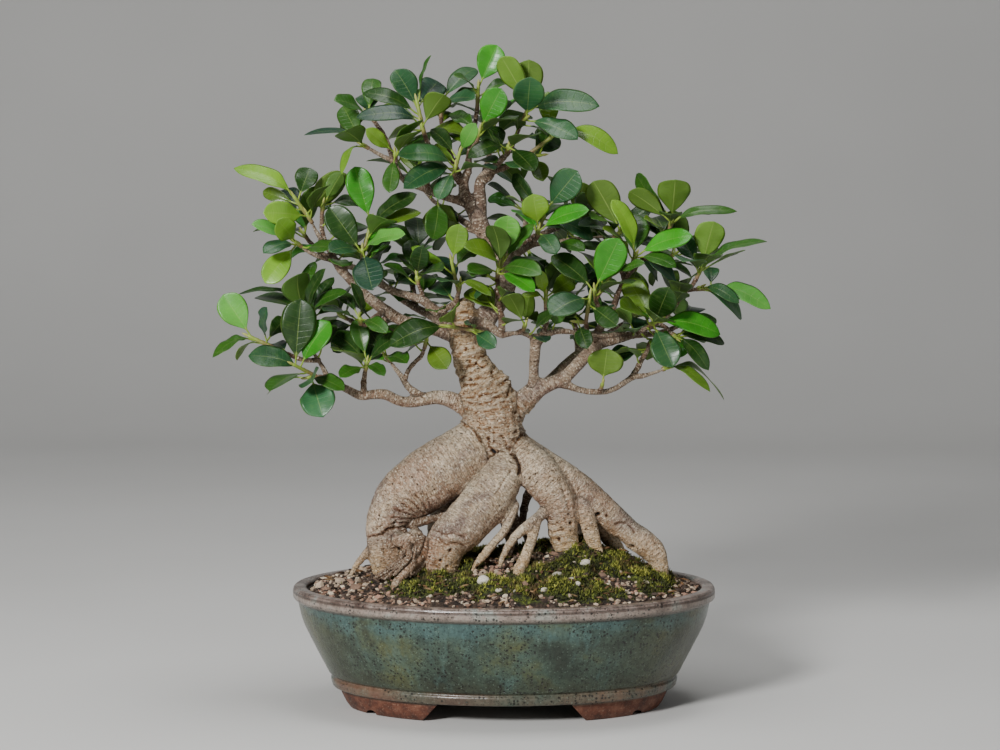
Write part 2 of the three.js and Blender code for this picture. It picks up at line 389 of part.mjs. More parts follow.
  backUp: [[11, 363, 52, 4, []]],
  backUpRight: [[49, 342, 60, 5, []]],
  backUpLeft: [[-63, 372, 52, 4, []]],
  backTop: [[-7, 408, 46, 4, []]],
  backPad: [[73, 326, 50, 5, []]],
  backPadRight: [[120, 318, 54, 5, []]],
};

// Repeatable random numbers between 0 and 1
let seed = 20117;
function draw() {
  seed = (seed * 48271) % 2147483647;
  return seed / 2147483647;
}
const between = (low, high) => low + (high - low) * draw();

// Closed geometry to solid and back
function solidOf(geometry) {
  geometry.deleteAttribute('normal');
  geometry.deleteAttribute('uv');
  const merged = mergeVertices(geometry, 1e-4);
  return new wasm.Manifold(new wasm.Mesh({
    numProp: 3,
    vertProperties: new Float32Array(merged.attributes.position.array),
    triVerts: new Uint32Array(merged.index.array),
  }));
}

function geometryOf(solid) {
  const mesh = solid.getMesh();
  const geometry = new THREE.BufferGeometry();
  geometry.setAttribute('position', new THREE.BufferAttribute(mesh.vertProperties, 3));
  geometry.setIndex(new THREE.BufferAttribute(mesh.triVerts, 1));
  geometry.computeVertexNormals();
  return geometry;
}

const joined = (solids) => solids.reduce((whole, solid) => whole.add(solid));

// The largest body of a solid, without loose scraps
const largest = (solid) => solid.decompose().sort((a, b) => b.volume() - a.volume())[0];

// Moves every vertex of a geometry
function reshape(geometry, move) {
  const position = geometry.attributes.position;
  const point = new THREE.Vector3();
  for (let i = 0; i < position.count; i += 1) {
    point.fromBufferAttribute(position, i);
    move(point);
    position.setXYZ(i, point.x, point.y, point.z);
  }
  return geometry;
}

// Oval pot

const ovalDepth = (half) => {
  if (half > POT.roundInside) return half - POT.slimmer;
  return half * (1 - POT.slimmer / POT.roundInside);
};

// Turns a profile of half widths and heights into an oval solid
function ovalSolid(profile, lift = () => 0) {
  const points = profile.map(([half, z]) => new THREE.Vector2(half, z));
  const lathe = new THREE.LatheGeometry(points, POT.segments);
  lathe.rotateX(Math.PI / 2);
  reshape(lathe, (point) => {
    const half = Math.hypot(point.x, point.y);
    if (half > 0) point.y *= ovalDepth(half) / half;
    point.z += lift(point, half);
  });
  return solidOf(lathe);
}

const INNER_WALL = [[139, 84.7], [134.5, 58], [121.5, 30], [113, POT.floor]];

function potSolid() {
  const body = ovalSolid([
    [0, POT.under], [121, POT.under], [122.4, 19.4], [120.8, 21.4], [123.4, 23.4], [135.2, 46], [142.2, 61],
    [144.9, 74.6], [148.2, 76.4], [148.4, 82.6], [146.8, POT.rimTop],
    ...INNER_WALL, [0, POT.floor],
  ]);
  const ring = ovalSolid([[98, 16], [98, 0], [110.8, 0], [113.9, 4.4], [116.6, 11.4], [117.4, 16],
    [98, 16]]);
  const slot = (low, high) => new THREE.ExtrudeGeometry(
    new THREE.Shape([[-low, -1], [low, -1], [high, 17],
      [-high, 17]].map(([x, y]) => new THREE.Vector2(x, y))),
    { depth: 400, bevelEnabled: false },
  ).translate(0, 0, -200).rotateX(Math.PI / 2);
  const notch = (x) => new THREE.CylinderGeometry(POT.notchRadius, POT.notchRadius, 400, 8)
    .translate(x, 0, 0);
  const drain = (x) => new THREE.CylinderGeometry(POT.holeRadius, POT.holeRadius, 40, 12)
    .rotateX(Math.PI / 2).translate(x, 0, POT.floor);
  const feet = ring
    .subtract(solidOf(slot(POT.footGapLow, POT.footGapHigh)))
    .subtract(solidOf(slot(POT.sideGapLow, POT.sideGapHigh).rotateZ(Math.PI / 2)))
    .subtract(solidOf(notch(-POT.notchX)))
    .subtract(solidOf(notch(POT.notchX)));
  return body.add(feet)
    .subtract(solidOf(drain(-POT.holeX)))
    .subtract(solidOf(drain(POT.holeX)));
}

// Square plate over a drain hole, grown all round by `grow`
function platePocket(x, grow = 0) {
  const side = MESH.side + 2 * grow;
  const plate = new THREE.BoxGeometry(side, side, MESH.thick + 2 * grow);
  return solidOf(plate.translate(x, 0, POT.floor + GAP + MESH.thick / 2));
}

// The plate with its four openings
function drainMesh(x) {
  const openings = [-0.5, 0.5].flatMap((column) => [-0.5, 0.5].map((row) => solidOf(
    new THREE.BoxGeometry(MESH.hole, MESH.hole, MESH.side)
      .translate(x + column * MESH.pitch, row * MESH.pitch, POT.floor),
  )));
  return openings.reduce((plate, opening) => plate.subtract(opening), platePocket(x));
}

// Wood

// Radius of a many-sided ring that has a round one's area, as a share of the round one's
const fuller = (sides) => Math.sqrt((2 * Math.PI / sides) / Math.sin(2 * Math.PI / sides));

// Tube along a route, with its rings square to the route
function limbSolid(route, sides, along, grow = 0) {
  const curve = new THREE.CatmullRomCurve3(route.map(([x, z, d]) => at(x, z, d)), false, 'catmullrom', 0.5);
  const rings = Math.max(route.length > 3 ? 2 : 1, Math.round(curve.getLength() / along));
  const { tangents, normals, binormals } = curve.computeFrenetFrames(rings);
  const tube = new THREE.CylinderGeometry(1, 1, 1, sides, rings);
  reshape(tube, (point) => {
    const ring = Math.round((point.y + 0.5) * rings);
    const share = curve.getUtoTmapping(ring / rings) * (route.length - 1);
    const from = Math.min(Math.floor(share), route.length - 2);
    const round = THREE.MathUtils.lerp(route[from][3], route[from + 1][3], share - from);
    const radius = round * fuller(sides) + grow;
    const across = point.x * radius;
    const forward = point.z * radius;
    point.copy(curve.getPointAt(ring / rings))
      .addScaledVector(tangents[ring], ring === rings ? grow : 0)
      .addScaledVector(binormals[ring], across)
      .addScaledVector(normals[ring], forward);
  });
  return solidOf(tube);
}

function sidesFor(route) {
  const widest = Math.max(...route.map((row) => row[3]));
  if (widest > 13) return 9;
  if (widest > 9) return 7;
  return widest > 4.5 ? 5 : 4;
}

function alongFor(route) {
  const radius = route[1][3];
  if (radius > 10) return ALONG.swollen;
  return radius > 4.5 ? ALONG.thick : ALONG.slim;
}

const limbTube = (route, grow) => limbSolid(route, sidesFor(route), alongFor(route), grow);

function lumpSolid({ x, z, depth, half }) {
  const centre = at(x, z, depth);
  const ball = new THREE.IcosahedronGeometry(1, 1).scale(...half);
  return solidOf(ball.translate(centre.x, centre.y, centre.z));
}

function woodSolid() {
  const limbs = WOOD_ROUTES.map((route) => limbTube(route));
  return joined([...limbs, ...LUMPS.map(lumpSolid)]);
}

// Soil

function soilHeight(x, y) {
  const out = Math.min(1, (x / SOIL.half) ** 2 + (y / ovalDepth(SOIL.half)) ** 2);
  const knoll = Math.exp(-(((x - SOIL.knollX) / 35) ** 2) - (((y - SOIL.knollY) / 40) ** 2));
  return SOIL.edge + SOIL.heap * (1 - out) ** 0.8 + SOIL.knoll * knoll * (1 - out) ** 0.3;
}

const lumps = (x, y) => SOIL.lump * Math.sin(x * 0.9) * Math.cos(y * 1.1 + 0.7);

// White pebbles: x, y, half length
const PEBBLES = [
  [-14, -66, 7], [9, -78, 5], [27, -80, 4], [46, -62, 5], [56, -42, 5], [36, -55, 5],
];

function pebbleSolid([x, y, size]) {
  const stone = new THREE.IcosahedronGeometry(size, 0).scale(1, 0.75, 0.6).rotateZ(x + y);
  return solidOf(stone.translate(x, y, soilHeight(x, y) + 0.1 * size));
}

function soilSolid() {
  const wall = INNER_WALL.slice(1).reverse().map(([half, z]) => [half - SOIL.wallGap, z]);
  wall[0][1] = POT.floor + GAP;
  const rings = [SOIL.half, 112, 80, 44, 0].map((half) => [half, 0]);
  const earth = ovalSolid([[0, POT.floor + GAP], ...wall, ...rings], (point) => {
    if (point.z > 1) return 0;
    return soilHeight(point.x, point.y) + lumps(point.x, point.y);
  });
  const holes = Object.values(ROOTS).map((route) => limbTube(route, GAP));
  const pockets = [-POT.holeX, POT.holeX].map((x) => platePocket(x, GAP));
  return largest([...holes, ...pockets].reduce(
    (whole, hole) => whole.subtract(hole),
    joined([earth, ...PEBBLES.map(pebbleSolid)]),
  ));
}

// Leaves

// Half width of a blade as a share of its greatest, at a share of its length
const outline = (share) => {
  if (share <= 0 || share >= 1) return 0;
  return 2.569 * share ** 0.75 * (1 - share) ** 0.62;
};

// Height of a leaf's surface over its base plane, `along` from the stalk's start and `across` from
// the midrib
function bladeHeight(leaf, along, across) {
  const share = Math.max(0, along - leaf.stalk) / leaf.length;
  return LEAF.fold * Math.abs(across) - leaf.arch * leaf.length * share * share;
}

function leafPoint(leaf, along, across, above = 0) {
  const height = bladeHeight(leaf, along, across) + above;
  return leaf.base.clone()
    .addScaledVector(leaf.forward, along)
    .addScaledVector(leaf.side, across)
    .addScaledVector(leaf.up, height);
}

// Leaf from a base to a tip, with its upper side towards `facing`
function leafBetween(base, tip, facing, width, arch) {
  const chord = tip.clone().sub(base);
  const reach = chord.length();
  const ahead = chord.clone().normalize();
  const over = facing.clone().addScaledVector(ahead, -facing.dot(ahead)).normalize();
  const stalk = Math.min(LEAF.stalk, reach * 0.3);
  const bend = 1 + arch * arch;
  const length = (Math.sqrt(stalk * stalk - bend * (stalk * stalk - reach * reach)) - stalk) / bend;
  const tilt = Math.atan2(arch * length, stalk + length);
  const forward = ahead.clone().multiplyScalar(Math.cos(tilt)).addScaledVector(over, Math.sin(tilt));
  const up = over.clone().multiplyScalar(Math.cos(tilt)).addScaledVector(ahead, -Math.sin(tilt));
  const side = forward.clone().cross(up);
  return { base, forward, up, side, stalk, length, arch, half: LEAF.width * length * width / 2 };
}

// Points on a leaf's stalk, midrib and edges, a few millimetres apart
function leafSamples(leaf) {
  const points = [0.4, 0.75].map((share) => leafPoint(leaf, share * leaf.stalk, 0));
  for (let i = 0; i <= 12; i += 1) {
    const share = i / 12;
    const along = leaf.stalk + share * leaf.length;
    const half = leaf.half * outline(share);
    points.push(leafPoint(leaf, along, 0));
    if (half > 0) points.push(leafPoint(leaf, along, half), leafPoint(leaf, along, -half));
  }
  return points;
}

// Whether a ball at a point reaches a leaf
function nearLeaf(leaf, point, radius) {
  const offset = point.clone().sub(leaf.base);
  const along = offset.dot(leaf.forward);
  if (along < 2 || along > leaf.stalk + leaf.length + radius) return false;
  const across = offset.dot(leaf.side);
  const half = Math.max(LEAF.baseHalf, leaf.half * outline((along - leaf.stalk) / leaf.length));
  if (Math.abs(across) > half + radius) return false;
  return Math.abs(offset.dot(leaf.up) - bladeHeight(leaf, along, across)) < radius;
}

// Balls along a route of centres and radii, three millimetres apart
function ballsAlong(curve, spans, radiusAt) {
  const balls = [];
  const count = Math.max(2, Math.ceil(curve.getLength() / 3));
  for (let i = 0; i <= count; i += 1) {
    balls.push({ point: curve.getPoint(i / count), radius: radiusAt(i / count * spans) });
  }
  return balls;
}

function limbBalls(route) {
  const curve = new THREE.CatmullRomCurve3(route.map(([x, z, d]) => at(x, z, d)), false, 'catmullrom', 0.5);
  return ballsAlong(curve, route.length - 1, (share) => {
    const from = Math.min(Math.floor(share), route.length - 2);
    return THREE.MathUtils.lerp(route[from][3], route[from + 1][3], share - from);
  });
}

// A shoot's green stem, from the end of its limb to its bud
function stemCurve(limb, tip) {
  const end = at(...limb[limb.length - 1].slice(0, 3));
  const before = at(...limb[limb.length - 2].slice(0, 3));
  const ahead = end.clone().sub(before).normalize();
  const start = end.clone().addScaledVector(ahead, GAP);
  const stop = at(...tip);
  const middle = start.clone().addScaledVector(ahead, 0.4 * start.distanceTo(stop));
  return new THREE.QuadraticBezierCurve3(start, middle, stop);
}

function shootOf(limb, [x, z, depth, extra, rows], order) {
  const curve = stemCurve(LIMBS[limb], [x, z, depth]);
  const ahead = curve.getTangent(1);
  const axis = new THREE.Vector3(ahead.x, ahead.y, ahead.z + 0.7).normalize();
  const radius = STEM.radius * (1 - STEM.slimmer * order);
  return { limb, curve, axis, depth, extra, rows, count: rows.length + extra, radius, leaves: [] };
}

const shoots = Object.entries(SPRAYS)
  .flatMap(([limb, rows]) => rows.map((row, order) => shootOf(limb, row, order)));

const limbBallList = WOOD_ROUTES.flatMap(limbBalls);
const stemBallList = shoots.flatMap((shoot) => ballsAlong(shoot.curve, 1, () => shoot.radius)
  .map((ball) => ({ ...ball, shoot })));
const placed = [];

// A leaf fits where it stays clear of all the wood, the other stems and the leaves placed before it
function fits(leaf, shoot) {
  const reach = leaf.stalk + leaf.length + 4;
  const nearby = (point, extra) => point.distanceTo(leaf.base) < reach + extra;
  for (const ball of limbBallList) {
    if (!nearby(ball.point, ball.radius)) continue;
    if (nearLeaf(leaf, ball.point, ball.radius + CLEAR)) return false;
  }
  for (const ball of stemBallList) {
    if (ball.shoot.limb === shoot.limb || !nearby(ball.point, ball.radius)) continue;
    if (nearLeaf(leaf, ball.point, ball.radius + CLEAR)) return false;
  }
  const samples = leafSamples(leaf);
  for (const other of placed) {
    if (other.base.distanceTo(leaf.base) > reach + other.stalk + other.length) continue;
    const sameShoot = other.shoot === shoot;
    const apart = (point, base) => !sameShoot || point.distanceTo(base) > ROOM_AT_BASE;
    const hits = (points, to) => points.some((point) => apart(point, to.base)
      && nearLeaf(to, point, CLEAR));
    if (hits(samples, other) || hits(other.samples, leaf)) return false;
  }
  return samples.every((point) => point.z > soilHeight(point.x, point.y) + CLEAR);
}

function place(leaf, shoot) {
  if (!fits(leaf, shoot)) return false;
  const entry = { ...leaf, shoot, samples: leafSamples(leaf) };
  placed.push(entry);
  shoot.leaves.push(entry);
  return true;
}

// Stalks start one after another up a shoot's stem, on the axes of its straight spans
function stalkBase(shoot, order) {
  const share = (0.3 + 0.68 * (order + 0.5) / shoot.count) * STEM.spans;
  const span = Math.floor(share);
  const from = shoot.curve.getPointAt(span / STEM.spans);
  return from.lerp(shoot.curve.getPointAt((span + 1) / STEM.spans), share - span);
}

// A leaf that the front view shows: its tip is seen at (x, z), and the rest of its reach lies in depth
function leadLeaf(shoot, [x, z, reach, face, width, arch], order) {
  const base = stalkBase(shoot, order);
  const flat = at(x, z, shoot.depth).sub(base);
  const deep = Math.sqrt(Math.max(0, reach * reach - flat.lengthSq())) * Math.sign(reach);
  const facing = new THREE.Vector3(...FACES[face]);
  const shifts = [0, -4, 4, -8, 8, -12, 12, -16, 16];
  return shifts.some((shift) => {
    const tip = at(x, z, shoot.depth + deep + shift);
    return place(leafBetween(base, tip, facing, width, arch), shoot);
  });
}

// A further leaf, spiralled round its shoot
function ruleLeaf(shoot, order) {
  const base = stalkBase(shoot, order);
  const level = new THREE.Vector3(0, 0, 1).cross(shoot.axis).normalize();
  const cross = shoot.axis.clone().cross(level);
  for (let attempt = 0; attempt < MAX_LEAF_TRIES; attempt += 1) {
    const turn = between(0, 2 * Math.PI) + 2.4 * order;
    const lean = between(0.75, 1.35);
    const length = between(33, 40);
    const arch = between(0.1, 0.45);
    const width = between(1.05, 1.3);
    const outward = level.clone().multiplyScalar(Math.cos(turn))
      .addScaledVector(cross, Math.sin(turn));
    const ahead = shoot.axis.clone().multiplyScalar(Math.cos(lean))
      .addScaledVector(outward, Math.sin(lean));
    const facing = shoot.axis.clone().multiplyScalar(Math.sin(lean))
      .addScaledVector(outward, -Math.cos(lean));
    facing.z += 0.4;
    const tip = base.clone().addScaledVector(ahead, length);
    const deepEnough = shoot.depth > 30 || Math.abs(ahead.y) > 0.45;
    if (deepEnough && place(leafBetween(base, tip, facing, width, arch), shoot)) return true;
  }
  return false;
}

for (const shoot of shoots) {
  shoot.rows.forEach((row, order) => leadLeaf(shoot, row, shoot.extra + order));
}
for (const shoot of shoots) {
  for (let order = 0; order < shoot.extra; order += 1) ruleLeaf(shoot, order);
}

// Blade and stalk of one leaf: three-sided rings with an edge at each side and a keel beneath, and the
// stalk's point sunk in the stem
function leafSolid(leaf) {
  const stations = [
    [leaf.stalk + leaf.length, 0, 0],
    [leaf.stalk + 0.73 * leaf.length, leaf.half * 0.95, LEAF.keel],
    [leaf.stalk + 0.33 * leaf.length, leaf.half * 0.95, LEAF.keel],
    [leaf.stalk, LEAF.baseHalf, LEAF.baseKeel],
    [-LEAF.sunk, 0, 0],
  ];
  const spans = stations.length - 1;
  const ball = new THREE.SphereGeometry(1, 3, spans);
  reshape(ball, (point) => {
    const row = Math.round(Math.acos(point.y) / Math.PI * spans);
    const [along, half, keel] = stations[row];
    const across = -Math.sign(Math.round(2 * point.z)) * half;
    const above = point.x < 0 ? -keel : 0;
    point.copy(leafPoint(leaf, along, across, above));
  });
  return solidOf(ball);
}

// Stem with a pointed bud
function stemSolid(shoot) {
  const { normals, binormals } = shoot.curve.computeFrenetFrames(STEM.spans);
  const cone = new THREE.ConeGeometry(1, 1, STEM.sides, STEM.spans + 1);
  const rows = STEM.spans + 1;
  reshape(cone, (point) => {
    const row = Math.round((0.5 - point.y) * rows);
    if (row === 0) {
      point.copy(shoot.curve.getPoint(1)).addScaledVector(shoot.curve.getTangent(1), STEM.bud);
      return;
    }
    const ring = rows - row;
    const radius = THREE.MathUtils.lerp(shoot.radius, STEM.tip, ring / STEM.spans) / (row / rows);
    const across = point.x * radius;
    const forward = point.z * radius;
    point.copy(shoot.curve.getPointAt(ring / STEM.spans))
      .addScaledVector(binormals[ring], across)
      .addScaledVector(normals[ring], forward);
  });
  return solidOf(cone);
}

function spraySolid(members) {
  return joined(members.flatMap((shoot) => [stemSolid(shoot), ...shoot.leaves.map(leafSolid)]));
}

// Assembly

// The whole plant's width is centred on the origin, and the pot stands a little to the right of it
const plant = new THREE.Group();
plant.position.x = POT_MIDDLE;
function addPiece(name, geometry, look) {
  const mesh = new THREE.Mesh(geometry, new THREE.MeshStandardMaterial(look));
  mesh.name = name;
  plant.add(mesh);
}

addPiece('pot', geometryOf(potSolid()), COLOURS.glaze);
addPiece('drain_mesh_left', geometryOf(drainMesh(-POT.holeX)), COLOURS.plastic);
addPiece('drain_mesh_right', geometryOf(drainMesh(POT.holeX)), COLOURS.plastic);
addPiece('soil', geometryOf(soilSolid()), COLOURS.soil);
addPiece('wood', geometryOf(woodSolid()), COLOURS.bark);
Object.keys(SPRAYS).forEach((limb, index) => {
  const members = shoots.filter((shoot) => shoot.limb === limb);
  const number = String(index + 1).padStart(2, '0');
  addPiece(`spray_${number}`, geometryOf(spraySolid(members)), COLOURS.leaf);
});

export default plant;
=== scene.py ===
# %% [markdown]
# # A ginseng ficus in an oval glazed pot
#
# The plant is a small fig whose aerial roots have swollen into thick legs. It stands in a low oval
# stoneware pot, in gritty soil with moss on it. The frame that is loaded below holds plain solids of
# the pot and its two drainage meshes, the soil, the wood and 55 sprays of leafy shoots. Most pieces
# of this notebook take the place of one of them, keep its form and its place, and add the surface
# that the eye expects. A few small things, such as moss and grit, are only here.
#
# The frame could be dressed by moving its pieces about, but then nothing would fit any more. So the
# box around it is noted first, and every new piece is made at its final place, in metres.

# %% The frame
import bpy
import bmesh
import math
import numpy as np
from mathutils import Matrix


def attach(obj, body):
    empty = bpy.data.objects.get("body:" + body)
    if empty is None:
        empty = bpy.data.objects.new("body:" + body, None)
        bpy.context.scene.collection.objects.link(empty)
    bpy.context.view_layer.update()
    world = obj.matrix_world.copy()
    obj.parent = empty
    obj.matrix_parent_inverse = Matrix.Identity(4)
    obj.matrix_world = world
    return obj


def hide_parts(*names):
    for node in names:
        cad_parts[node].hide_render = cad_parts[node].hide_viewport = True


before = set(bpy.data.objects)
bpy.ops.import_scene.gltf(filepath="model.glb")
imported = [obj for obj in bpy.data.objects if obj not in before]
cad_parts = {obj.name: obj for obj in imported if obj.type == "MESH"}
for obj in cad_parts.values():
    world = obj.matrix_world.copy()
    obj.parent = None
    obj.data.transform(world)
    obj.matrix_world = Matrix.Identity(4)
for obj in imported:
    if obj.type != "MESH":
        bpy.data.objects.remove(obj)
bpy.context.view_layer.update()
print("nodes in the frame:", len(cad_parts))

# %% [markdown]
# ## Places and measures
#
# A plant has no straight edges to measure from. Its branches are easiest to place where the eye sees
# them: at x and z on an upright plane through the pot's middle, plus a depth behind or before that
# plane. A point further back is seen smaller, so `at` spreads it away from the eye's axis. The
# millimetres are counted from the pot's middle, which stands a little to the right of the origin,
# and `to_metres` brings them into the frame.

# %% Places
MM = 0.001
POT_MIDDLE = 7.7
EYE = {"x": -3, "distance": 1992.4, "z": 406.8}


def at(x, z, depth):
    spread = 1 + depth / EYE["distance"]
    return np.array([EYE["x"] + spread * (x - EYE["x"]), depth, EYE["z"] + spread * (z - EYE["z"])])


def seen_at(points):
    """The x and z at which the eye sees each point on the front plane."""
    spread = 1 + points[:, 1] / EYE["distance"]
    x = EYE["x"] + (points[:, 0] - EYE["x"]) / spread
    z = EYE["z"] + (points[:, 2] - EYE["z"]) / spread
    return x, z


def to_metres(points):
    return (np.asarray(points, float) + (POT_MIDDLE, 0, 0)) * MM


print("the pot's middle is at", to_metres([[0, 0, 0]])[0])

# %% [markdown]
# ## Roughness without pictures
#
# Bark, soil and glaze are uneven at many sizes. Blender has noise textures for materials, but a shape
# needs the same thing for points. `noise` gives each point a smooth value between -1 and 1 from a
# fixed mixing of whole numbers, so that every run gives the same surface. `rough` adds finer and
# finer layers of it.

# %% Noise for points
HASH = np.array([73856093, 19349663, 83492791])
HASH_MIX = 1274126177
HASH_SEED = 668265263
HASH_TOP = 0x7FFFFFFF


def noise(points, seed=0):
    cell = np.floor(points).astype(np.int64)
    share = points - cell
    share = share * share * (3 - 2 * share)
    total = np.zeros(len(points))
    for corner in np.ndindex(2, 2, 2):
        key = (cell + corner) * HASH
        mixed = key[:, 0] ^ key[:, 1] ^ key[:, 2] ^ (seed * HASH_SEED)
        mixed = ((mixed ^ (mixed >> 13)) * HASH_MIX) & HASH_TOP
        mixed = ((mixed ^ (mixed >> 15)) * HASH_MIX) & HASH_TOP
        weight = np.prod(np.where(corner, share, 1 - share), axis=1)
        total += weight * (2 * mixed / HASH_TOP - 1)
    return total


def rough(points, layers=3, seed=0):
    total = np.zeros(len(points))
    for layer in range(layers):
        total += noise(points * 2 ** layer, seed + layer) / 2 ** layer
    return total


print("noise spread:", np.round(noise(np.random.default_rng(1).random((500, 3)) * 40).std(), 2))

# %% [markdown]
# ## Meshes from numbers
#
# Most pieces here are rings of points joined by four-sided faces: a root, a twig, a leaf, the pot.
# Modelling them by hand would take days, and a modifier stack can't follow some 400 different
# leaves. So
# `ring_faces` writes the faces between rings, and `piece` turns points and faces into an object that
# rides with the plant. A piece can carry extra numbers for each point, which its material reads.

# %% Mesh helpers
ATTRIBUTE_KINDS = {1: ("FLOAT", "value"), 3: ("FLOAT_VECTOR", "vector"), 4: ("FLOAT_COLOR", "color")}


def turns(sides):
    """Equal turns round a full circle."""
    return np.arange(sides) / sides * 2 * math.pi


def ring_faces(rings, sides, first=0):
    """Faces between rings of points, with a lid at both ends."""
    ring = np.arange(rings - 1)[:, None] * sides + first
    side = np.arange(sides)
    after = (side + 1) % sides
    quads = np.stack([ring + side, ring + after, ring + sides + after, ring + sides + side], axis=-1)
    lids = [list(range(first + sides - 1, first - 1, -1)),
            list(range(first + (rings - 1) * sides, first + rings * sides))]
    return quads.reshape(-1, 4).tolist() + lids


def bare_mesh(name, points, faces):
    mesh = bpy.data.meshes.new(name)
    mesh.from_pydata(to_metres(points).tolist(), [], faces)
    mesh.update()
    return mesh


def add_numbers(mesh, name, values):
    values = np.asarray(values, float)
    kind, key = ATTRIBUTE_KINDS[1 if values.ndim == 1 else values.shape[1]]
    attribute = mesh.attributes.new(name, kind, "POINT")
    attribute.data.foreach_set(key, values.astype(np.float32).ravel())


def read(items, key, width, kind=float):
    """One row of numbers for each of a mesh's items."""
    flat = np.empty(len(items) * width, kind)
    items.foreach_get(key, flat)
    return flat.reshape(-1, width)


def points_of(mesh):
    return read(mesh.vertices, "co", 3) / MM - (POT_MIDDLE, 0, 0)


def set_points(mesh, points):
    mesh.vertices.foreach_set("co", to_metres(points).ravel())
    mesh.update()


def in_scene(name, data):
    made = bpy.data.objects.new(name, data)
    bpy.context.scene.collection.objects.link(made)
    return made


def modified(kind, mesh, other=None, **settings):
    """A new mesh: the old one with one of Blender's modifiers applied."""
    works = [in_scene("work", item) for item in (mesh, other) if item is not None]
    tool = works[0].modifiers.new("work", kind)
    for key, value in settings.items():
        setattr(tool, key, value)
    if other is not None:
        tool.object = works[1]
    bpy.context.view_layer.update()
    done = works[0].evaluated_get(bpy.context.evaluated_depsgraph_get())
    result = bpy.data.meshes.new_from_object(done)
    for work in works:
        bpy.data.objects.remove(work)
    return result


def piece(name, mesh, material, node_names):
    """An object that rides with the plant and stands for nodes of the frame."""
    mesh.polygons.foreach_set("use_smooth", [True] * len(mesh.polygons))
    mesh.materials.clear()
    mesh.materials.append(material)
    made = in_scene(name, mesh)
    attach(made, "root")
    if node_names:
        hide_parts(*node_names)
    return made


print("mesh helpers ready")

# %% [markdown]
# ## Materials from nodes
#
# A finish could be painted on a picture, but a picture has a fixed size and needs unwrapping. Nodes
# work at any distance. `colour` reads a web code, and a `Recipe` is a material in the making: its
# `node` adds a node and fills or links its sockets. The others are the steps that every finish below
# repeats: `ramp`, `step`, `cloud` and `speckle` give values, `mix` and `over` lay one tone on
# another, and `dress` links the result to the shader.

# %% Material helpers


def colour(code):
    parts = [int(code[i:i + 2], 16) / 255 for i in (1, 3, 5)]
    linear = [p / 12.92 if p <= 0.04045 else ((p + 0.055) / 1.055) ** 2.4 for p in parts]
    return (*linear, 1.0)


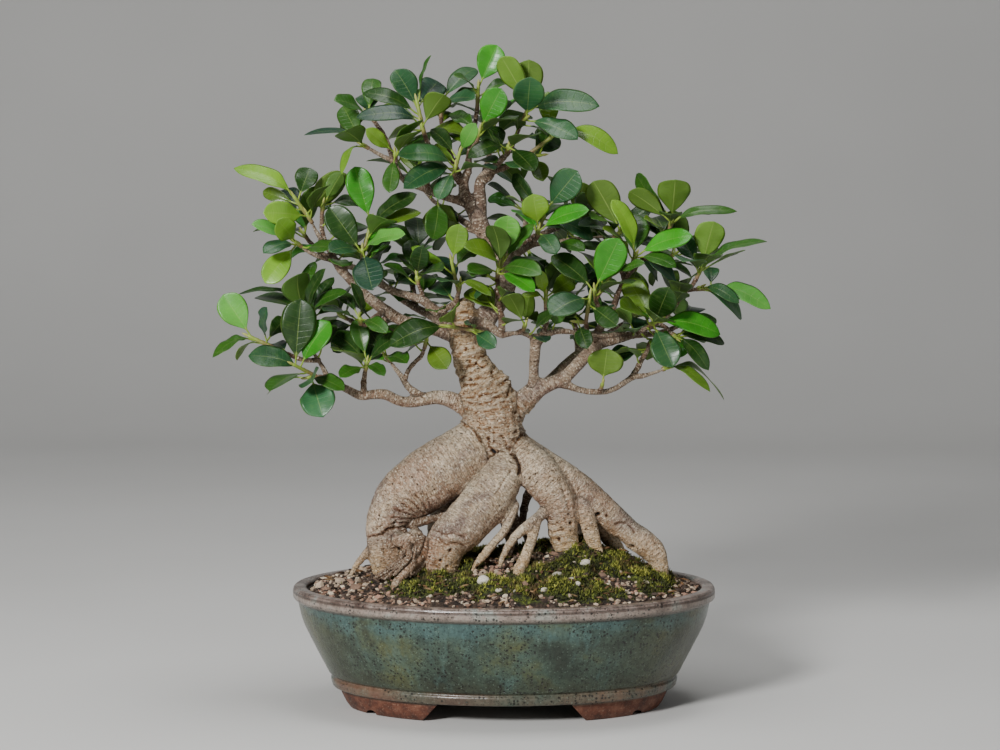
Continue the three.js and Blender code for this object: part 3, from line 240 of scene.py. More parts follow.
class Recipe:
    """A material that grows node by node. Colours are web codes or numbers, other inputs may be links."""

    def __init__(self, name, **constants):
        self.material = bpy.data.materials.new(name)
        self.material.use_nodes = True
        self.tree = self.material.node_tree
        self.shader = self.tree.nodes["Principled BSDF"]
        for key, value in constants.items():
            self.shader.inputs[key.replace("_", " ")].default_value = value
        self.where = self.node("TexCoord").outputs["Object"]

    def fill(self, socket, value):
        if isinstance(value, bpy.types.NodeSocket):
            self.tree.links.new(value, socket)
        else:
            socket.default_value = colour(value) if isinstance(value, str) else value

    def node(self, kind, inputs=None, **settings):
        made = self.tree.nodes.new("ShaderNode" + kind)
        for key, value in settings.items():
            setattr(made, key, value)
        for key, value in (inputs or {}).items():
            self.fill(made.inputs[key], value)
        return made

    def number(self, name, socket="Fac"):
        """What the points of the mesh carry under a name."""
        return self.node("Attribute", attribute_name=name).outputs[socket]

    def sums(self, operation, *values):
        made = self.node("Math", operation=operation)
        for socket, value in zip(made.inputs, values):
            self.fill(socket, value)
        return made.outputs[0]

    def plus(self, *values):
        return self.sums("ADD", *values)

    def times(self, *values):
        return self.sums("MULTIPLY", *values)

    def minus(self, *values):
        return self.sums("SUBTRACT", *values)

    def mix(self, share, low, high, way="MIX"):
        made = self.node("Mix", data_type="RGBA", blend_type=way)
        for index, value in ((0, share), (6, low), (7, high)):
            self.fill(made.inputs[index], value)
        return made.outputs[2]

    def over(self, tone, *veils):
        """A tone with veils over it, each with its share, its strength and its own tone."""
        for share, strength, veil in veils:
            tone = self.mix(self.times(share, strength), tone, veil)
        return tone

    def weighted(self, first, *others):
        """A sum of values, each with its weight. A weight below 0 takes away."""
        total = self.times(*first)
        for value, weight in others:
            way = "ADD" if weight > 0 else "SUBTRACT"
            total = self.sums(way, total, self.times(value, abs(weight)))
        return total

    def ramp(self, value, *stops):
        """A colour for each value, blended between stops: each is a place with its colour after it."""
        made = self.node("ValToRGB", {"Fac": value})
        elements = made.color_ramp.elements
        pairs = list(zip(stops[::2], stops[1::2]))
        while len(elements) < len(pairs):
            elements.new(0.5)
        for element, (place, tone) in zip(elements, pairs):
            element.position = place
            element.color = colour(tone) if isinstance(tone, str) else (*tone, 1)
        return made.outputs[0]

    def step(self, value, low, high):
        """0 below low, 1 above high, smooth between them."""
        return self.node("MapRange", {"Value": value, "From Min": low, "From Max": high},
                         interpolation_type="SMOOTHSTEP", clamp=True).outputs[0]

    def within(self, value, low, low_full, high, high_full):
        """1 in a band of values, smooth at both of its borders."""
        return self.times(self.step(value, low, low_full), self.step(value, high, high_full))

    def cloud(self, where, scale, detail=4, roughness=0.55):
        return self.node("TexNoise", {"Vector": where, "Scale": scale, "Detail": detail,
                                      "Roughness": roughness}).outputs[0]

    def speckle(self, where, scale, size, share):
        """1 inside dots of a size, in a share of the cells."""
        cells = self.node("TexVoronoi", {"Vector": where, "Scale": scale})
        near = self.sums("LESS_THAN", cells.outputs["Distance"], size)
        chosen = self.node("SeparateColor", {"Color": cells.outputs["Color"]}).outputs[0]
        return self.times(near, self.sums("LESS_THAN", chosen, share))

    def stretched(self, where, scale):
        return self.node("Mapping", {"Vector": where, "Scale": scale}).outputs[0]

    def dress(self, tone, roughness=None, height=None, depth=0.0003):
        """Links the finished tone, roughness and bump to the shader and gives the material."""
        self.fill(self.shader.inputs["Base Color"], tone)
        if roughness is not None:
            self.fill(self.shader.inputs["Roughness"], roughness)
        if height is not None:
            bump = self.node("Bump", {"Height": height, "Distance": depth, "Strength": 1.0})
            self.fill(self.shader.inputs["Normal"], bump.outputs[0])
        return self.material


print("material helpers ready")

# %% [markdown]
# ## The pot
#
# The pot is one piece of stoneware: an oval wall that leans out, a flat-topped rim over a groove, a
# band round the foot and four low feet. It could be cut from a block, but a potter's oval comes
# from a profile carried round, so `rounded` softens the corners of the profile and `oval` carries it
# round. The front-to-back half is 38.6 mm less than the left-to-right half from the wall outwards.

# %% Profile tools
POT = {
    "slimmer": 38.6, "round_inside": 90, "floor": 22.5, "hole_radius": 7, "hole_x": 42,
    "foot_gap": (57, 45), "side_gap": (21, 15), "notch_x": 92, "notch_radius": 3.5,
}
POT_SIDES = 224


def oval_depth(half):
    half = np.asarray(half, float)
    inside = half * (1 - POT["slimmer"] / POT["round_inside"])
    return np.where(half > POT["round_inside"], half - POT["slimmer"], inside)


def rounded(corners, steps=5):
    """The profile's points, with each corner (half width, height, cut) turned into a small arc."""
    points = []
    for index, (half, height, cut) in enumerate(corners):
        here = np.array([half, height], float)
        if cut == 0:
            points.append(here)
            continue
        before = np.array(corners[index - 1][:2], float) - here
        after = np.array(corners[(index + 1) % len(corners)][:2], float) - here
        start = here + before / np.linalg.norm(before) * cut
        stop = here + after / np.linalg.norm(after) * cut
        for share in np.linspace(0, 1, steps):
            points.append((1 - share) ** 2 * start + 2 * share * (1 - share) * here
                          + share ** 2 * stop)
    return np.array(points)


def finer(points, longest):
    """Splits the long stretches of a profile."""
    result = [points[0]]
    for start, stop in zip(points[:-1], points[1:]):
        parts = max(1, int(np.ceil(np.linalg.norm(stop - start) / longest)))
        result += [start + (stop - start) * (i + 1) / parts for i in range(parts)]
    return np.array(result)


def oval(profile, sides=POT_SIDES):
    turn = turns(sides)
    half = profile[:, 0][:, None]
    x = half * np.cos(turn)
    y = oval_depth(half) * np.sin(turn)
    z = np.repeat(profile[:, 1][:, None], sides, axis=1)
    return np.stack([x, y, z], axis=-1).reshape(-1, 3)


def turned_mesh(name, profile, closed_loop=False):
    """A closed mesh from a profile that starts and ends on the axis, or that closes on itself."""
    points = oval(profile)
    faces = ring_faces(len(profile), POT_SIDES)
    if closed_loop:
        faces = faces[:-2]
        last = (len(profile) - 1) * POT_SIDES
        side = np.arange(POT_SIDES)
        after = (side + 1) % POT_SIDES
        faces += np.stack([last + side, last + after, after, side], axis=-1).tolist()
    mesh = bare_mesh(name, points, faces)
    work = bmesh.new()
    work.from_mesh(mesh)
    bmesh.ops.remove_doubles(work, verts=work.verts, dist=1e-6)
    bmesh.ops.recalc_face_normals(work, faces=work.faces)
    work.to_mesh(mesh)
    work.free()
    return mesh


print("rim's corner:", rounded([(0, 0, 0), (10, 0, 2), (10, 5, 0)])[1:-1].round(1).tolist())

# %% [markdown]
# The feet are a ring under the pot with slots cut through it, as the potter cuts them. The cutters
# are plain prisms. Blender's Boolean modifier joins and cuts, and `modified` applies it at once, so
# that no modifier stays on the piece.

# %% Pot body and feet
POT_BODY = [
    (0, 14, 0), (121, 14, 1.2), (122.4, 19.4, 1.2), (120.8, 21.4, 0.8), (123.4, 23.4, 1.2),
    (135.2, 46, 10), (142.2, 61, 6), (144.9, 74.6, 0.9), (148.2, 76.4, 1.2), (148.4, 82.6, 1.8),
    (146.8, 84.7, 1), (139, 84.7, 2.2), (134.5, 58, 8), (121.5, 30, 6), (113, 22.5, 3), (0, 22.5, 0),
]
THROUGH = 200
HOLE_MIDDLE = 18
FOOT_RING = [(98, 16, 0), (98, 0, 1), (110.8, 0, 1.4), (113.9, 4.4, 1.6), (116.6, 11.4, 2), (117.4, 16, 0)]


def prism(name, outline, reach, turned=False):
    """An outline in x and z, carried along y (or along x when turned)."""
    sides = len(outline)
    near = [(x, reach, z) for x, z in outline]
    far = [(x, -reach, z) for x, z in outline]
    points = np.array(near + far, float)
    if turned:
        points = points[:, [1, 0, 2]] * (1, -1, 1)
    return bare_mesh(name, points, ring_faces(2, sides))


def circle(x, z, radius, sides=24):
    return [(x + radius * math.cos(t), z + radius * math.sin(t)) for t in turns(sides)]


def slot(gap, top=16.6, corner=3):
    low, high = gap
    return [(-low, -1), (low, -1), (high + 0.3, top - corner), (high - corner, top),
            (corner - high, top), (-high - 0.3, top - corner)]


def cut_with(mesh, other, operation="DIFFERENCE"):
    return modified("BOOLEAN", mesh, other, operation=operation, solver="EXACT")


pot_mesh = turned_mesh("pot_body", finer(rounded(POT_BODY), 3.5))
ring_mesh = turned_mesh("foot_ring", finer(rounded(FOOT_RING), 4), closed_loop=True)
cutters = [prism("front_slot", slot(POT["foot_gap"]), THROUGH),
           prism("side_slot", slot(POT["side_gap"]), THROUGH, turned=True)]
for side in (-1, 1):
    notch = circle(side * POT["notch_x"], 0, POT["notch_radius"])
    cutters.append(prism("notch", notch, THROUGH))
for cutter in cutters:
    ring_mesh = cut_with(ring_mesh, cutter)
pot_mesh = cut_with(pot_mesh, ring_mesh, "UNION")
for side in (-1, 1):
    hole = prism("drain_hole", circle(side * POT["hole_x"], 0, POT["hole_radius"]), 20)
    x, y, z = points_of(hole).T
    set_points(hole, np.stack([x, -z, y + HOLE_MIDDLE], axis=-1))
    pot_mesh = cut_with(pot_mesh, hole)
print("pot faces:", len(pot_mesh.polygons))

# %% [markdown]
# A thrown and pressed pot is never perfectly even. The points move in and out by a fraction of a
# millimetre, on waves a few centimetres long, and the glaze is a little thicker in places.

# %% Uneven clay
pot_points = points_of(pot_mesh)
outward = pot_points * (1, 1, 0)
outward /= np.maximum(np.linalg.norm(outward, axis=1, keepdims=True), 1)
swell = 0.35 * rough(pot_points / 38, 2, 5) + 0.07 * rough(pot_points / 6, 2, 9)
standing = np.clip((pot_points[:, 2] - 1) / 6, 0, 1)
pot_points += outward * (swell * standing)[:, None]
set_points(pot_mesh, pot_points)
print("clay moved by up to", round(float(abs(swell).max()), 2), "mm")

# %% [markdown]
# ### Glaze
#
# The glaze is a green-blue celadon over brown clay. It ran: it is thick and bluish under the rim,
# thin and olive towards the ends, and brown where it broke over the rim and over the band at the
# foot. Iron in the clay shows through as dark specks. The feet are bare and red-brown. A dark line
# under the rim's bead and another at the step in the rim are painted shade, and a pale line along the
# rim's top is a painted highlight. All of this follows from height and chance, so the recipe reads the
# height and a few noises. The gloss varies with the grain, under a thin clear coat, and the grain and
# the runs also serve as a bump.

# %% Glaze material
# heights in metres: where a zone begins and is full, and for a line also where it ends and is full
GLAZE = {
    "under_rim": (0.058, 0.071), "rim_shade": (0.0775, 0.0745), "low": (0.036, 0.024),
    "rim": (0.0742, 0.0756), "lip": (0.0815, 0.0808), "groove": (0.0735, 0.0748, 0.0784, 0.0772),
    "bead_step": (0.0803, 0.0811, 0.0826, 0.0818), "rim_highlight": (0.0846, 0.0858, 0.0879, 0.0868),
    "band": (0.0232, 0.0212), "bare": (0.0135, 0.0115), "ends": (0.07, 0.14), "middle": (0.085, 0.05),
}


def glaze_finish():
    r = Recipe("celadon_glaze", Coat_Weight=0.2, Coat_Roughness=0.12, IOR=1.5, Specular_IOR_Level=0.36)
    apart = r.node("SeparateXYZ", {"Vector": r.where})
    height = apart.outputs["Z"]
    patches = r.cloud(r.where, 24, 5, 0.6)
    runs = r.cloud(r.stretched(r.where, (1, 1, 0.16)), 85, 4, 0.6)
    grain = r.cloud(r.where, 420, 3, 0.7)
    wall = r.ramp(patches, 0.34, "#20271f", 0.45, "#333f34", 0.54, "#415144", 0.66, "#515637")
    wall = r.over(wall, (r.step(runs, 0.5, 0.68), 0.4, "#53706a"),
                  (r.step(runs, 0.46, 0.3), 0.6, "#2a2f25"))
    ends = r.step(r.sums("ABSOLUTE", apart.outputs["X"]), *GLAZE["ends"])
    wall = r.over(wall, (ends, 0.75, r.ramp(patches, 0.4, "#363b22", 0.62, "#504e2f")))
    wavy = r.plus(height, r.times(r.minus(runs, 0.5), 0.022))
    under_rim = r.times(r.step(wavy, *GLAZE["under_rim"]), r.step(height, *GLAZE["rim_shade"]))
    blotches = r.step(r.cloud(r.stretched(r.where, (1, 1, 2.2)), 26, 4, 0.6), 0.42, 0.58)
    teal = r.sums("MULTIPLY_ADD", blotches, 0.42, 0.02)
    wall = r.over(wall, (under_rim, teal, "#49696a"))
    low = r.step(wavy, *GLAZE["low"])
    wall = r.over(wall, (low, 0.5, "#393a2a"))
    edge = r.ramp(r.cloud(r.where, 60, 5, 0.65), 0.35, "#4c3b34", 0.47, "#75645b", 0.56, "#908077", 0.66,
                  "#8c9088")
    rim = r.step(height, *GLAZE["rim"])
    tone = r.mix(rim, wall, edge)
    # Dark line in the groove under the rim's bead: painted shade.
    groove = r.within(height, *GLAZE["groove"])
    tone = r.over(tone, (groove, 0.7, "#2f2823"))
    lip = r.times(rim, r.step(height, *GLAZE["lip"]))
    tone = r.over(tone, (lip, 0.4, "#9b8f83"))
    # Dark line at the step between the rim's two beads: painted shade, also pressed in by the bump.
    bead_step = r.within(height, *GLAZE["bead_step"])
    tone = r.over(tone, (bead_step, 0.6, "#3b2c24"))
    # Pale line along the rim's top edge: painted highlight.
    rim_highlight = r.within(height, *GLAZE["rim_highlight"])
    tone = r.over(tone, (rim_highlight, 0.5, "#b3a69a"))
    band = r.step(height, *GLAZE["band"])
    band_tone = r.ramp(patches, 0.38, "#6a4537", 0.52, "#6b5847", 0.66, "#4b574d")
    tone = r.mix(band, tone, band_tone)
    middle = r.times(r.step(r.sums("ABSOLUTE", apart.outputs["X"]), *GLAZE["middle"]), band)
    tone = r.over(tone, (middle, 0.5, "#3e4c42"))
    flecks = r.cloud(r.where, 800, 3, 0.8)
    dark = r.plus(r.speckle(r.where, 430, 0.36, 0.34), r.speckle(r.where, 900, 0.36, 0.26))
    clustered = r.step(r.cloud(r.where, 32, 3), 0.36, 0.5)
    dark = r.times(r.sums("MINIMUM", dark, 1.0), clustered)
    tone = r.over(tone, (dark, 0.85, "#15120e"))
    pale = r.plus(r.speckle(r.where, 600, 0.3, 0.25), r.step(flecks, 0.6, 0.72))
    tone = r.over(tone, (r.sums("MINIMUM", pale, 1.0), 0.28, "#7f9183"))
    light = r.ramp(grain, 0.32, (0.45, 0.45, 0.45), 0.62, (1.1, 1.1, 1.1))
    tone = r.mix(0.7, tone, r.mix(1.0, tone, light, "MULTIPLY"))
    bare = r.step(height, *GLAZE["bare"])
    clay = r.ramp(r.cloud(r.where, 90, 5, 0.65), 0.35, "#3a2118", 0.52, "#5f3626", 0.7, "#7d5440")
    clay = r.over(clay, (r.step(flecks, 0.56, 0.7), 0.5, "#a88d76"))
    tone = r.mix(bare, tone, clay)
    gloss = r.node("MapRange", {"Value": grain, "To Min": 0.2, "To Max": 0.4}).outputs[0]
    gloss = r.plus(gloss, r.times(bare, 0.45))
    bumps = r.weighted((grain, 0.6), (runs, 0.6), (dark, -0.2), (bead_step, -1.2))
    return r.dress(tone, gloss, bumps, 0.0005)


piece("glazed_pot", pot_mesh, glaze_finish(), ["pot"])
print("pot of", len(pot_mesh.vertices), "points")

# %% [markdown]
# ### Drainage mesh
#
# Two squares of dark plastic mesh keep the soil from falling through the drain holes. Only their
# undersides show, through the holes, so the frame's own plates stay and only get their finish: a
# dull moulded plastic with a fine grain.

# %% Drainage mesh material


def mesh_finish():
    r = Recipe("moulded_plastic", Roughness=0.55)
    grain = r.cloud(r.where, 900, 3)
    tone = r.ramp(grain, 0.35, "#1b1e1f", 0.7, "#33383a")
    return r.dress(tone, None, grain, 0.0001)


plastic = mesh_finish()
for plate in ("drain_mesh_left", "drain_mesh_right"):
    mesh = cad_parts[plate].data
    mesh.materials.clear()
    mesh.materials.append(plastic)
print("plates dressed:", 2)

# %% [markdown]
# ## The wood
#
# Roots, trunk, branches and woody twigs grew as one piece. Each is a limb: a route of places with a
# radius. Each row holds x, z, depth and radius. The routes are the same as in the frame, so the fine
# wood lies where the plain solid lies. Only four slim roots, innerLeft, innerRight, tangle and
# tangleSide, are not in the plain solid. Of the knobs that thicken a limb, it has the first, and two
# others in place of the next six. The seven knobs at the roots are not in it.

# %% Routes of the wood
TRUNK = {
    "trunk": [(-6, 172, 2, 15), (-8, 188, 1, 22.3), (-8.5, 200, 0, 20.6), (-9.5, 210, 0, 20),
        (-13, 220, 0, 17.8), (-17.5, 230, 0, 14.8), (-22.5, 240, 0, 12), (-25, 250, 0, 11.4),
        (-27, 260, 0, 10.6), (-28, 270, 0, 9.6), (-28, 279, 0, 8)],
}
ROOTS = {
    "left": [(-6, 192, 0, 13), (-23, 182, -4, 18.5), (-39, 169.5, -8, 21), (-56, 158, -11, 22),
        (-70, 147.5, -13, 20), (-80, 136, -14, 16), (-85.5, 125, -14, 12), (-85, 113, -15, 11.4),
        (-86, 101, -16, 9.4), (-87, 91, -17, 5), (-87, 84, -17, 3)],
    "middle": [(0, 182, -8, 9), (-0.5, 170, -13, 11.5), (-3, 158, -18, 15), (-13, 143, -24, 17),
        (-26, 129, -29, 17), (-37, 118, -33, 15.5), (-43, 107, -35, 14), (-45, 98, -36, 12),
        (-46, 90, -36, 6)],
    "right": [(8, 182, -5, 11), (19, 169, -11, 13.4), (29, 156, -15, 14), (37, 145, -17, 12.4),
        (40, 134, -18, 10.8), (41, 122, -19, 10), (43, 111, -20, 8.4), (44, 103, -20, 5)],
    "farRight": [(5, 184, 0, 12), (22, 171.5, -2, 12), (39, 161, -4, 11.6), (53, 150.5, -5, 12),
        (66, 139.5, -6, 11.4), (78, 130, -6, 10), (88, 121.5, -7, 8.8), (97, 115, -8, 9.2),
        (105, 107.5, -9, 8.2), (109.5, 98, -10, 6), (111, 89, -10, 4.2), (111.5, 82, -10, 2.5)],
    "besideRight": [(51, 149, -10, 6), (56, 137, -15, 6), (59.5, 126, -17, 5.6), (63, 115, -18, 5.4),
        (65.5, 106, -19, 4.6), (66.5, 98, -19, 2.5)],
    "slender": [(6, 140, -20, 5), (4, 131, -27, 3.6), (0.5, 123, -31, 3.4), (-6.5, 114.5, -35, 3.2),
        (-14, 106, -38, 2.9), (-20, 99, -40, 2.4), (-23, 93, -41, 1.6)],
    "forked": [(32, 140, -16, 5), (24.5, 132.5, -27, 4.2), (16, 126, -33, 3.8), (8, 118.5, -37, 3.3),
        (2.5, 111, -40, 2.9), (-1, 104, -42, 2.6), (-3, 97, -43, 1.8)],
    "forkedFront": [(23, 131, -29, 3.8), (20.5, 120, -34, 3.5), (17.5, 111, -39, 3.6), (15, 104, -43, 4),
        (12, 97, -46, 4.6), (8.5, 90, -49, 4.6), (5.5, 83, -51, 3.2), (4, 77, -52, 2)],
    "innerLeft": [(-4, 160, 4, 3.2), (4, 143, -2, 3), (8, 129, -6, 2.6), (6, 116, -10, 2.4),
        (3, 104, -14, 2)],
    "innerRight": [(20, 158, 4, 3), (15, 143, 6, 2.8), (13, 128, 4, 2.6), (17, 114, 0, 2.2),
        (20, 104, -4, 2)],
    "tangle": [(-66, 128, -18, 2.6), (-60, 119, -26, 3), (-55, 110, -33, 3.1), (-57, 101, -40, 2.8),
        (-64, 92, -46, 2)],
    "tangleSide": [(-72, 124, -20, 2.6), (-67, 112, -24, 3), (-70, 101, -30, 2.6), (-76, 92, -36, 2)],
    "bridge": [(-40, 133, -26, 3), (-50, 131, -24, 2.7), (-60, 128.5, -20, 3.2), (-68, 127, -17, 3)],
    "creepLeft": [(-92, 111, -17, 4), (-99, 104.5, -18, 3), (-104, 98, -20, 2.6), (-108, 91, -22, 1.8)],
    "creepFront": [(-56, 112, -38, 6.4), (-62, 103, -45, 5), (-70, 93, -51, 3.8), (-77, 84, -55, 3),
        (-80, 77, -57, 2)],
    "flaky": [(-79, 120, -18, 5), (-70, 114, -27, 5.4), (-64, 105, -33, 4.6), (-61, 95, -36, 3),
        (-60, 88, -36, 2)],
    "backLeft": [(-14, 184, 8, 12), (-26, 167, 24, 13), (-37, 146, 37, 12), (-44, 127, 45, 10),
        (-48, 111, 50, 7.5), (-50, 96, 53, 5), (-51, 87, 54, 3)],
    "backMiddle": [(-2, 178, 10, 11), (-6, 158, 22, 7), (-3, 143, 27, 5), (2, 129, 30, 5),
        (5, 115, 31, 4.6), (6, 103, 31, 4), (7, 94, 30, 2.5)],
    "backRight": [(10, 180, 10, 11), (24, 161, 26, 11), (38, 142, 40, 9.5), (46, 126, 48, 8),
        (50, 112, 53, 6), (52, 99, 56, 4), (53, 90, 57, 2.5)],
    "backFar": [(24, 170, 6, 8.5), (46, 150, 20, 8), (63, 132, 30, 7), (76, 115, 38, 6),
        (83, 101, 43, 4.4), (86, 90, 46, 2.8)],
}
